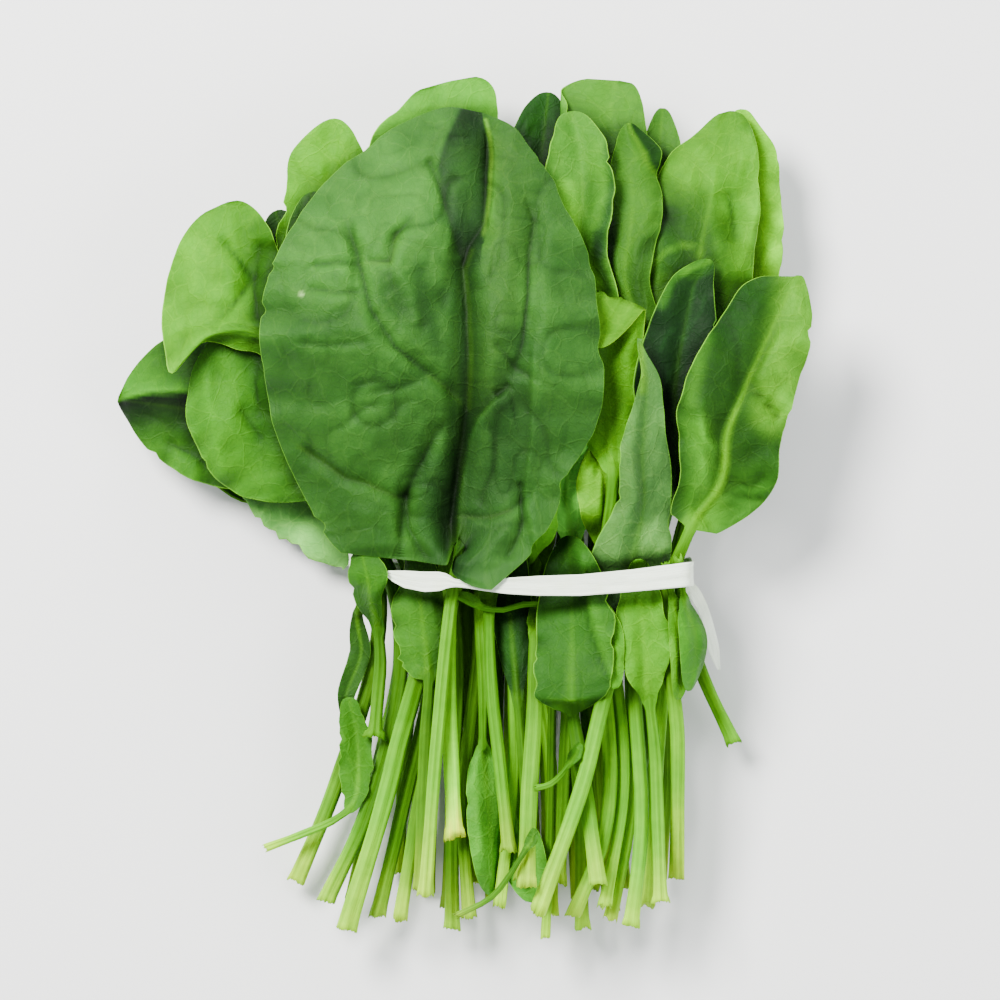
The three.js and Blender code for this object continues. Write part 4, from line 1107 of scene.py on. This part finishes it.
def crease_shade(grid, small):
    """Painted shade along the bottom of a crease with painted light on its banks, and painted light
    along a ridge.
    """
    shade = 1
    for line, depth, _ in CREASES.get(grid.leaf.name, ()):
        d, share, _ = distance_to(*grid.plain, line)
        strength = 0.4 if depth < DEEP_CREASE else min(1, abs(depth) / FULL_CREASE)
        strength = strength * tapered(share, 0.35, 0.05) * (0.75 + 0.5 * small)
        if depth < 0:
            felt = 0.56 * bell(d / 0.75) - 0.2 * bell((d - 2.1) / 1.2)
        else:
            felt = -0.12 * bell(d / 2.5)
        shade = shade * (1 - strength * felt)[..., None]
    return shade


def colours(grid):
    """Linear colours of the upper and of the lower face."""
    one, t, s = grid.leaf, grid.t, grid.s
    rng = np.random.default_rng(SEED + 500 + grid.index)
    jitter = (1 + rng.uniform(-0.1, 0.1)) * (1 + rng.uniform(-0.06, 0.06, 3) * [1.4, 0.5, 1.0])
    *factor, rib_strength = LOOKS.get(one.name, PLAIN_LOOK)
    blade = np.array(TONES[one.tone]) * jitter * factor
    stalk = stalk_colour(grid, jitter, rng)
    patch = noise(grid.x / 17, grid.y / 17, grid.index + 3)
    small = noise(grid.x / 6, grid.y / 6, grid.index + 4)
    shade = blade * (1 + 0.16 * patch + 0.07 * small)[..., None]
    # painted light on the crests, and painted shade in the hollows and crumples between them
    crest = grid.relief - soften(grid.relief, 14)
    shade = shade * np.clip(1 + 0.2 * crest - 0.22 * grid.crumple, 0.5, 1.4)[..., None]
    near_rib = np.exp(-np.abs(grid.offset) / 8)[..., None] * (1 - s)[..., None]
    shade = mix(shade, shade * BESIDE_RIB, near_rib * 0.5 * rib_strength)
    # painted light and painted shade over single places; the darkest also darken the stalk and, as
    # painted shade, the lower face
    painted_shade_below = 1
    for line, reach, *factors in PAINTED_LIGHT_AND_TINTS.get(one.name, ()):
        d, _, hand = distance_to(*grid.plain, line)
        felt = smooth(1 - d / reach)
        if factors[3:]:
            felt = felt * smooth(0.5 + 0.45 * d * hand * factors[3])
        tint = mix(1, np.array(factors[:3]), felt[..., None])
        shade = shade * tint
        if min(factors[:3]) < 0.5:
            stalk, painted_shade_below = stalk * tint, painted_shade_below * tint
    # painted shade and painted light along the creases
    shade = shade * crease_shade(grid, small)
    off_rib = np.abs(grid.offset)
    rib = mix(stalk[-1, t.shape[1] // 2], RIB * jitter, 0.5)
    rib_here = np.clip(1.25 - off_rib / grid.rib, 0, 1) * np.clip(1.05 - s, 0.25, 1)
    rib_here = (rib_here * rib_strength)[..., None]
    shade = mix(shade, rib, rib_here)
    from_rib = smooth((off_rib - grid.rib) / 4) * (s > 0)
    melt = (grid.melt * np.maximum(from_rib, 0.35 + 0.65 * smooth(s / 0.06)))[..., None]
    upper = mix(stalk, shade, melt)
    below = (YELLOW_UNDERSIDE if one.tone == "yellow" else UNDERSIDE) * jitter
    under = mix(stalk, mix(mix(shade, below, 0.6), rib, rib_here), melt)
    # painted shade in the hollows between the leaves, weaker on the open leaves
    deepest = SHADE_OPEN if one.name in OPEN else mix(SHADE_STALK, SHADE_BLADE, melt)
    deep = 1 - deepest * smooth(grid.hollow / 0.85)[..., None]
    return np.clip(upper * deep, 0, 1), np.clip(under * mix(1, painted_shade_below, 0.6) * deep, 0, 1)


# ------------------------------------------------------------------ meshes
def add_mesh(name, points, faces):
    mesh = bpy.data.meshes.new(name)
    mesh.vertices.add(len(points))
    mesh.vertices.foreach_set("co", (points * MM).astype(np.float32).ravel())
    mesh.loops.add(len(faces) * 4)
    mesh.loops.foreach_set("vertex_index", faces.astype(np.int32).ravel())
    mesh.polygons.add(len(faces))
    mesh.polygons.foreach_set("loop_start", np.arange(0, len(faces) * 4, 4, dtype=np.int32))
    mesh.update(calc_edges=True)
    mesh.validate()
    mesh.shade_smooth()
    return mesh


def ring_faces(rows, columns):
    """Faces of a flat tube of rows, each a ring of both faces, with both its ends closed."""
    ring = 2 * columns
    i, j = np.meshgrid(np.arange(rows - 1), np.arange(ring), indexing="ij")
    k = (j + 1) % ring
    quads = np.stack([i * ring + j, (i + 1) * ring + j, (i + 1) * ring + k, i * ring + k], axis=-1)
    c = np.arange(columns - 1)
    first = np.stack([c, c + 1, ring - 2 - c, ring - 1 - c], axis=-1)
    last = (rows - 1) * ring
    final = np.stack([last + c, last + ring - 1 - c, last + ring - 2 - c, last + c + 1], axis=-1)
    return np.concatenate([quads.reshape(-1, 4), first, final])


def around(a, b=None):
    """A row over the upper face and back over the lower one."""
    return np.concatenate([a, (a if b is None else b)[:, ::-1]], axis=1)


def both_faces(x, y, z, normal, up, down):
    middle = np.stack([x, y, z], axis=2)
    up, down = (normal * np.asarray(part)[..., None] for part in (up, down))
    return around(middle + up, middle - down)


def put_uv(mesh, faces, name, u, v):
    layer = mesh.uv_layers.new(name=name)
    both = np.stack([u.ravel(), v.ravel()], axis=1)[faces.ravel()]
    layer.uv.foreach_set("vector", both.astype(np.float32).ravel())


def put_colour(mesh, name, colour):
    layer = mesh.color_attributes.new(name, "FLOAT_COLOR", "POINT")
    flat = colour.reshape(-1, colour.shape[-1])
    if flat.shape[1] == 3:
        flat = np.concatenate([flat, np.ones((len(flat), 1))], axis=1)
    layer.data.foreach_set("color", flat.astype(np.float32).ravel())


def add_piece(name, mesh, material):
    piece = put_in("spinach_" + name, mesh)
    mesh.materials.append(material)
    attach(piece, "root")
    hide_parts("tape" if name == "tape" else "leaf_" + name)


OFF_FLOOR = 0.02  # mm
CUT_FLARE = [0.15, 0.08, 0.03, 0.01]  # of the first rows


def fray(points, one, index):
    """Splays and tears the cut end."""
    rng = np.random.default_rng(SEED + 900 + index)
    ring = points.shape[1]
    ends = points[:len(CUT_FLARE)]
    centre = ends.mean(axis=1, keepdims=True)
    back = centre[0, 0] - centre[-1, 0]
    back /= np.linalg.norm(back)
    angle = np.linspace(0, 2 * np.pi, ring, endpoint=False)
    lobes = 0.5 + 0.5 * np.sin(rng.integers(2, 5) * angle + rng.uniform(0, 6))
    flare = np.array(CUT_FLARE)[:, None, None] * (0.1 + lobes)[None, :, None]
    flare = (ends - centre) * flare * rng.uniform(0.3, 1.6) ** 2
    ends += flare * FLARED.get(one.name, 1)
    oblique = rng.uniform(0, 0.55) * one.stalk
    oblique = oblique * (0.5 + 0.5 * np.cos(angle + rng.uniform(0, 6)))
    ragged = 1.6 * lobes * rng.uniform(0.2, 1) + 0.9 * rng.uniform(0, 1, ring) + oblique
    points[0] += back * ragged[:, None]


def build(grid, material):
    one, (rows, columns) = grid.leaf, grid.x.shape
    points = both_faces(grid.x, grid.y, grid.z, grid.normal, grid.up, grid.down)
    fray(points, one, grid.index)
    points[..., 2] = np.maximum(points[..., 2], OFF_FLOOR)
    faces = ring_faces(rows, columns)
    mesh = add_mesh(one.name + "_mesh", points.reshape(-1, 3), faces)

    mid = columns // 2
    steps = np.hypot(np.diff(grid.x[:, mid]), np.diff(grid.y[:, mid]))
    along = np.repeat(running(steps)[:, None], 2 * columns, axis=1)
    put_uv(mesh, faces, "leaf_uv", around(grid.offset) / 10 + 3.1 * grid.index, along / 10)
    lateral = np.full_like(grid.t, 0.5) if one.name in QUILTED else grid.lateral
    put_uv(mesh, faces, "vein_uv", around(lateral), around(grid.t))
    put_colour(mesh, "tone", around(*colours(grid)))
    blade = np.repeat(np.clip(grid.melt * (grid.s > 0), 0, 1), columns, axis=1)
    # the margin, along which the material paints light
    margin = np.zeros_like(blade)
    margin[:, [0, -1]] = margin[-1] = 1
    margin *= blade * np.clip(grid.full / 4, 0, 1)
    face = around(np.zeros_like(blade), np.ones_like(blade))
    put_colour(mesh, "part", np.stack([around(blade), around(margin), face], axis=2))
    add_piece(one.name, mesh, material)


# ------------------------------------------------------------------ materials
class Tree:
    """Adds and links a material's nodes."""

    def __init__(self, name):
        self.material = bpy.data.materials.new(name)
        self.material.use_nodes = True
        self.tree = self.material.node_tree
        self.shader = self.tree.nodes["Principled BSDF"].inputs

    def add(self, kind, values, **settings):
        """A node with its inputs, by number or by name, set or linked; its outputs."""
        node = self.tree.nodes.new("ShaderNode" + kind)
        for key, value in settings.items():
            setattr(node, key, value)
        for key, value in (values if isinstance(values, dict) else dict(enumerate(values))).items():
            self.put(node.inputs[key], value)
        return node.outputs

    def put(self, socket, value):
        if isinstance(value, bpy.types.NodeSocket):
            self.tree.links.new(value, socket)
        else:
            socket.default_value = value

    def math(self, operation, a, b=0.0, c=0.0, clamp=False):
        return self.add("Math", (a, b, c), operation=operation, use_clamp=clamp)[0]

    def times(self, a, b, plus=None):
        if plus is None:
            return self.math("MULTIPLY", a, b)
        return self.math("MULTIPLY_ADD", a, b, plus)

    def vector(self, operation, *values):
        return self.add("VectorMath", values, operation=operation)[0]

    def ramp(self, value, low, high, out_low=0.0, out_high=1.0):
        values = value, low, high, out_low, out_high
        return self.add("MapRange", values, interpolation_type="SMOOTHSTEP")[0]

    def blend(self, share, a, b, mode="MIX"):
        return self.add("Mix", {0: share, 6: a, 7: b}, data_type="RGBA", blend_type=mode)[2]

    def tinted(self, colour, *factors):
        return self.blend(1.0, colour, (*factors, 1), "MULTIPLY")

    def noise(self, vector, scale, detail, roughness=0.5):
        values = {"Vector": vector, "Scale": scale, "Detail": detail, "Roughness": roughness}
        return self.add("TexNoise", values)

    def fibres(self, vector, stretch, detail, roughness):
        return self.noise(self.vector("MULTIPLY", vector, stretch), 1.0, detail, roughness)[0]

    def net(self, vector, scale, width):
        values = {"Vector": vector, "Scale": scale}
        edges = self.add("TexVoronoi", values, feature="DISTANCE_TO_EDGE")
        return self.ramp(edges["Distance"], 0.0, width, 1.0, 0.0)

    def painted(self, layer):
        return self.add("VertexColor", (), layer_name=layer)[0]

    def uv(self, layer):
        return self.add("UVMap", (), uv_map=layer)[0]

    def bump(self, height, strength, distance):
        values = {"Strength": strength, "Distance": distance, "Height": height}
        self.put(self.shader["Normal"], self.add("Bump", values)[0])


def leaf_material(slot, gloss, specular, lit_edge_colour):
    tree = Tree(slot)
    shader, times, blend, ramp = tree.shader, tree.times, tree.blend, tree.ramp
    tone = tree.painted("tone")
    blade, margin, under = tree.add("SeparateColor", [tree.painted("part")])
    own = tree.uv("leaf_uv")
    lateral, reach, _ = tree.add("SeparateXYZ", [tree.uv("vein_uv")])

    # side veins: where the lateral count is whole, thinner and fainter toward the margin
    away = tree.math("SUBTRACT", tree.math("FRACT", lateral), 0.5)
    away = tree.math("SUBTRACT", 0.5, tree.math("ABSOLUTE", away))
    thick = times(reach, -0.032, plus=0.046)
    vein = tree.math("SUBTRACT", 1.0, tree.math("DIVIDE", away, thick), clamp=True)
    faint = ramp(reach, 0.35, 0.95, 1.0, 0.15)
    vein = times(times(vein, blade), faint)
    # the net of small veins
    warp = tree.noise(own, 1.3, 2.0)[1]
    bent = tree.vector("MULTIPLY_ADD", warp, (0.5, 0.5, 0.5), own)
    net = times(tree.net(bent, scale=1.2, width=0.06), blade)
    fine_net = times(tree.net(bent, scale=4.5, width=0.12), blade)
    fibre = tree.fibres(own, stretch=(26.0, 0.5, 1.0), detail=3.0, roughness=0.6)
    on_stalk = tree.math("SUBTRACT", 1.0, blade)
    mottle = tree.noise(own, 2.4, 4.0, 0.6)[0]
    cloud = tree.noise(own, 0.7, 2.0)[0]
    speck = ramp(tree.noise(own, 9.0, 1.0)[0], 0.74, 0.8)

    lighter = tree.tinted(tone, 1.45, 1.22, 1.25)
    darker = tree.tinted(tone, 0.64, 0.74, 0.72)
    pale = tree.tinted(tone, 1.9, 1.5, 1.6)
    colour = blend(ramp(mottle, 0.35, 0.75, 0.0, 0.5), tone, lighter)
    colour = blend(ramp(cloud, 0.45, 0.7, 0.0, 0.55), colour, darker)
    colour = blend(times(vein, 0.45), colour, pale)
    colour = blend(times(net, 0.5), colour, lighter)
    colour = blend(times(fine_net, 0.25), colour, darker)
    # painted light along the thin margin
    colour = blend(times(tree.math("POWER", margin, 1.6), 0.8), colour, lit_edge_colour)
    streak = times(ramp(fibre, 0.35, 0.7, 0.0, 0.6), on_stalk)
    colour = blend(streak, colour, tree.tinted(colour, 0.60, 0.72, 0.45))
    colour = blend(times(speck, 0.35), colour, darker)
    tree.put(shader["Base Color"], colour)

    rough = times(mottle, 0.25, plus=gloss)
    tree.put(shader["Roughness"], times(under, 0.12, plus=rough))

    height = times(vein, -0.15)
    height = times(net, -0.2, plus=height)
    height = times(fine_net, -0.1, plus=height)
    height = times(times(mottle, blade), 0.9, plus=height)
    height = times(times(fibre, on_stalk), 0.55, plus=height)
    flip = times(under, -1.6, plus=1.0)
    tree.bump(times(height, flip), strength=0.6, distance=0.0009)
    shader["Specular IOR Level"].default_value = specular
    shader["Subsurface Weight"].default_value = 0.1
    shader["Subsurface Radius"].default_value = (0.6, 1.0, 0.25)
    shader["Subsurface Scale"].default_value = 0.0012
    return tree.material


# the last colour of each is the painted light along its margin
MATERIALS = {
    "light": leaf_material("leaf_light", 0.5, 0.08, (0.24, 0.62, 0.03, 1)),
    "mid": leaf_material("leaf_mid", 0.5, 0.10, (0.18, 0.52, 0.02, 1)),
    "dark": leaf_material("leaf_dark", 0.5, 0.10, (0.16, 0.48, 0.02, 1)),
    "pale": leaf_material("leaf_pale", 0.55, 0.10, (0.22, 0.55, 0.06, 1)),
    "yellow": leaf_material("leaf_yellow", 0.5, 0.08, (0.3, 0.65, 0.02, 1)),
}

# ------------------------------------------------------------------ the tape
TAPE_WIDTH, TAPE_MIDDLE, TAPE_HALF_SPAN = 8.4, 20, 60  # as in the CAD, in mm
TAPE_Y, TAPE_BEND = -28, 0.0022
TAPE_HALF = 0.11  # half its thickness
TAPE_PLAIN_HALF = 3.9  # half its width where it is out of the picture
TAPE_BACK_Y = (1, 2.5)  # how far lower it lies there on the left and on the right
TAPE_TOP_Z, TAPE_LEFT_PX = 22, 351  # above and right of these it is in the picture
TAPE_COLUMNS, TAPE_STEP = 13, 1.1
TAIL_ROWS, TAIL_COLUMNS = 45, 9
PAPER_LIGHT, PAPER_FIBRE = (0.91, 1.0, 0.84, 1), (0.77, 0.88, 0.68, 1)
PAPER_STAIN = (0.74, 0.84, 0.52, 1)
# Its edges where it shows: a pixel column, and the rows of its upper and lower edge there.
TAPE_EDGES = [
    (378, 571, 572), (384, 570, 573), (394, 570, 581), (405, 570, 587), (425, 571, 591),
    (440, 571, 590), (448, 573, 587), (455, 578, 586), (466, 579, 587), (485, 577, 590),
    (505, 577, 592.5), (537, 575, 594.5), (580, 573.5, 594.5), (630, 568.5, 590.5),
    (680, 562, 586), (700, 560, 584),
]
# The free end: the pixels of its left and right edge, and its height in mm.
TAPE_TAIL = [
    ((681, 572), (683, 586), 30), ((688, 578), (687, 594), 30), ((699, 588), (694, 604), 31),
    ((709, 607), (702, 620), 31), ((716, 630), (706, 640), 29), ((721, 652), (712, 658), 27),
    ((722, 671), (719, 671), 26),
]


def tape_middle(x):
    return TAPE_Y + SHIFT_Y + TAPE_BEND * (x - TAPE_MIDDLE) ** 2


def tape_loop():
    """The outer side of the CAD's band as x and z, once round: the hull of its edge points."""
    points = node_points("tape")
    low = tape_middle(points[:, 0]) - TAPE_WIDTH / 2
    in_band = points[:, 0] < TAPE_MIDDLE + TAPE_HALF_SPAN + 1
    on_edge = (np.abs(points[:, 1] - low) < 0.3) & in_band
    flat = sorted(map(tuple, points[on_edge][:, [0, 2]]))

    def half(some):
        chain = []
        for p in some:
            while len(chain) > 1:
                (ax, az), (bx, bz) = chain[-2:]
                if (bx - ax) * (p[1] - az) - (bz - az) * (p[0] - ax) < 0:
                    break
                chain.pop()
            chain.append(p)
        return chain

    return np.array(half(flat) + half(flat[::-1])[1:])


def tape_grid():
    loop = tape_loop()
    run = running(lengths_of(loop))
    at = np.linspace(0, run[-1], int(run[-1] / TAPE_STEP) + 1)[:-1]
    path = np.stack([np.interp(at, run, loop[:, k]) for k in (0, 1)], axis=1)

    def before(a):
        return np.roll(a, 1, axis=0)

    def after(a):
        return np.roll(a, -1, axis=0)

    for _ in range(4):
        path = (before(path) + path + after(path)) / 3
    ahead = unit(after(path) - before(path))
    outward = np.stack([-ahead[:, 1], ahead[:, 0]], axis=1)
    # where it lies on top, its edges are those of the picture
    u = path[:, 0] / PX + ORIGIN_PX[0]
    over = smooth((path[:, 1] - TAPE_TOP_Z) / 8) * smooth((u - TAPE_LEFT_PX) / 14)
    columns, *edges = np.array(TAPE_EDGES, float).T
    upper, lower = ((ORIGIN_PX[1] - np.interp(u, columns, edge)) * PX for edge in edges)
    plain = tape_middle(path[:, 0]) - of_side(path[:, 0] >= TAPE_MIDDLE, TAPE_BACK_Y)
    high = mix(plain + TAPE_PLAIN_HALF, upper, over)
    low = mix(plain - TAPE_PLAIN_HALF, lower, over)
    share = np.linspace(0, 1, TAPE_COLUMNS)
    # slack across its width, wrinkled along it and creased where it is squeezed
    squeezed = np.clip(1 - (high - low) / 7.5, 0, 1)[:, None]
    run = at[:, None]
    wave = 0.16 * noise(run / 9, share * 5, 3) + 0.1 * noise(run / 30, share * 9, 5)
    pleat = squeezed * (0.9 * np.abs(np.sin(2.5 * np.pi * share + 0.05 * run)) - 0.35)
    curl = 0.25 * (2 * share - 1) ** 4
    lift = wave + pleat + curl - 0.45
    x, z = (path[:, k, None] + outward[:, k, None] * lift for k in (0, 1))
    normal = [outward[:, :1] + 0 * x, 0 * x, outward[:, 1:] + 0 * x]
    thin = np.full(x.shape, TAPE_HALF)
    return SimpleNamespace(
        leaf=None, x=x, y=mix(low[:, None], high[:, None], share), z=z, up=thin, down=thin,
        normal=np.stack(normal, axis=-1), at=at, share=share,
    )


def build_tape(grid, material):
    points = both_faces(grid.x, grid.y, grid.z, grid.normal, grid.up, grid.down)
    rows, ring = points.shape[:2]
    i, j = np.meshgrid(np.arange(rows), np.arange(ring), indexing="ij")
    k, n = (j + 1) % ring, (i + 1) % rows
    loop_faces = np.stack([i * ring + j, i * ring + k, n * ring + k, n * ring + j], axis=-1)
    # the free end
    tail = np.array([[*at_pixel(*a), *at_pixel(*b), z] for a, b, z in TAPE_TAIL])
    q = np.linspace(0, len(tail) - 1, TAIL_ROWS)
    ax, ay, bx, by, z = pchip(np.arange(len(tail)), tail, q).T[..., None]
    share = np.linspace(0, 1, TAIL_COLUMNS)
    q = q[:, None]
    z = z + 2.4 * np.sin(q / 2.2) * (share - 0.5)
    z = z + 0.25 * noise(q * 3, share * 4, 8) + 0.5 * np.sin(q * 1.7)
    end = both_faces(mix(ax, bx, share), mix(ay, by, share), z, np.array([0, 0, 1]), 0.1, 0.1)
    tail_faces = ring_faces(TAIL_ROWS, TAIL_COLUMNS)[:, ::-1] + rows * ring
    faces = np.concatenate([loop_faces.reshape(-1, 4), tail_faces])
    points = np.concatenate([points.reshape(-1, 3), end.reshape(-1, 3)])
    mesh = add_mesh("tape_mesh", points, faces)
    across = [around(part[None]) * wide + 0 * run for part, wide, run in (
        (grid.share, 0.8, grid.at[:, None]), (share, 0.5, q))]
    along = [around(0 * grid.share[None]) + grid.at[:, None] / 10,
             around(0 * share[None]) + q * 1.5 / 10 + 60]
    across, along = (np.concatenate([part.ravel() for part in parts]) for parts in (across, along))
    put_uv(mesh, faces, "leaf_uv", across, along)
    add_piece("tape", mesh, material)


def tape_material():
    tree = Tree("tape_paper")
    shader, blend = tree.shader, tree.blend
    own = tree.uv("leaf_uv")
    fibre = tree.fibres(own, stretch=(22.0, 0.7, 1.0), detail=4.0, roughness=0.65)
    blotch = tree.noise(own, 1.4, 3.0)[0]
    wrinkle = tree.noise(own, 5.0, 3.0, 0.6)[0]
    colour = blend(tree.ramp(fibre, 0.35, 0.65, 0.0, 0.65), PAPER_LIGHT, PAPER_FIBRE)
    colour = blend(tree.ramp(blotch, 0.5, 0.75, 0.0, 0.35), colour, PAPER_STAIN)
    tree.put(shader["Base Color"], colour)
    tree.bump(tree.times(wrinkle, 0.6, plus=fibre), strength=0.5, distance=0.0006)
    tree.put(shader["Roughness"], tree.times(fibre, 0.25, plus=0.4))
    shader["Specular IOR Level"].default_value = 0.4
    return tree.material


grids = [lay_out(one, index) for index, one in enumerate(LEAVES)]
tape = tape_grid()
for grid in grids:
    if grid.leaf.name in OVER_TAPE:
        rest_on(grid, tape)
settle(segments(grids, tape))
shade_hollows(grids, tape)
for grid in grids:
    build(grid, MATERIALS[grid.leaf.tone])
build_tape(tape, tape_material())
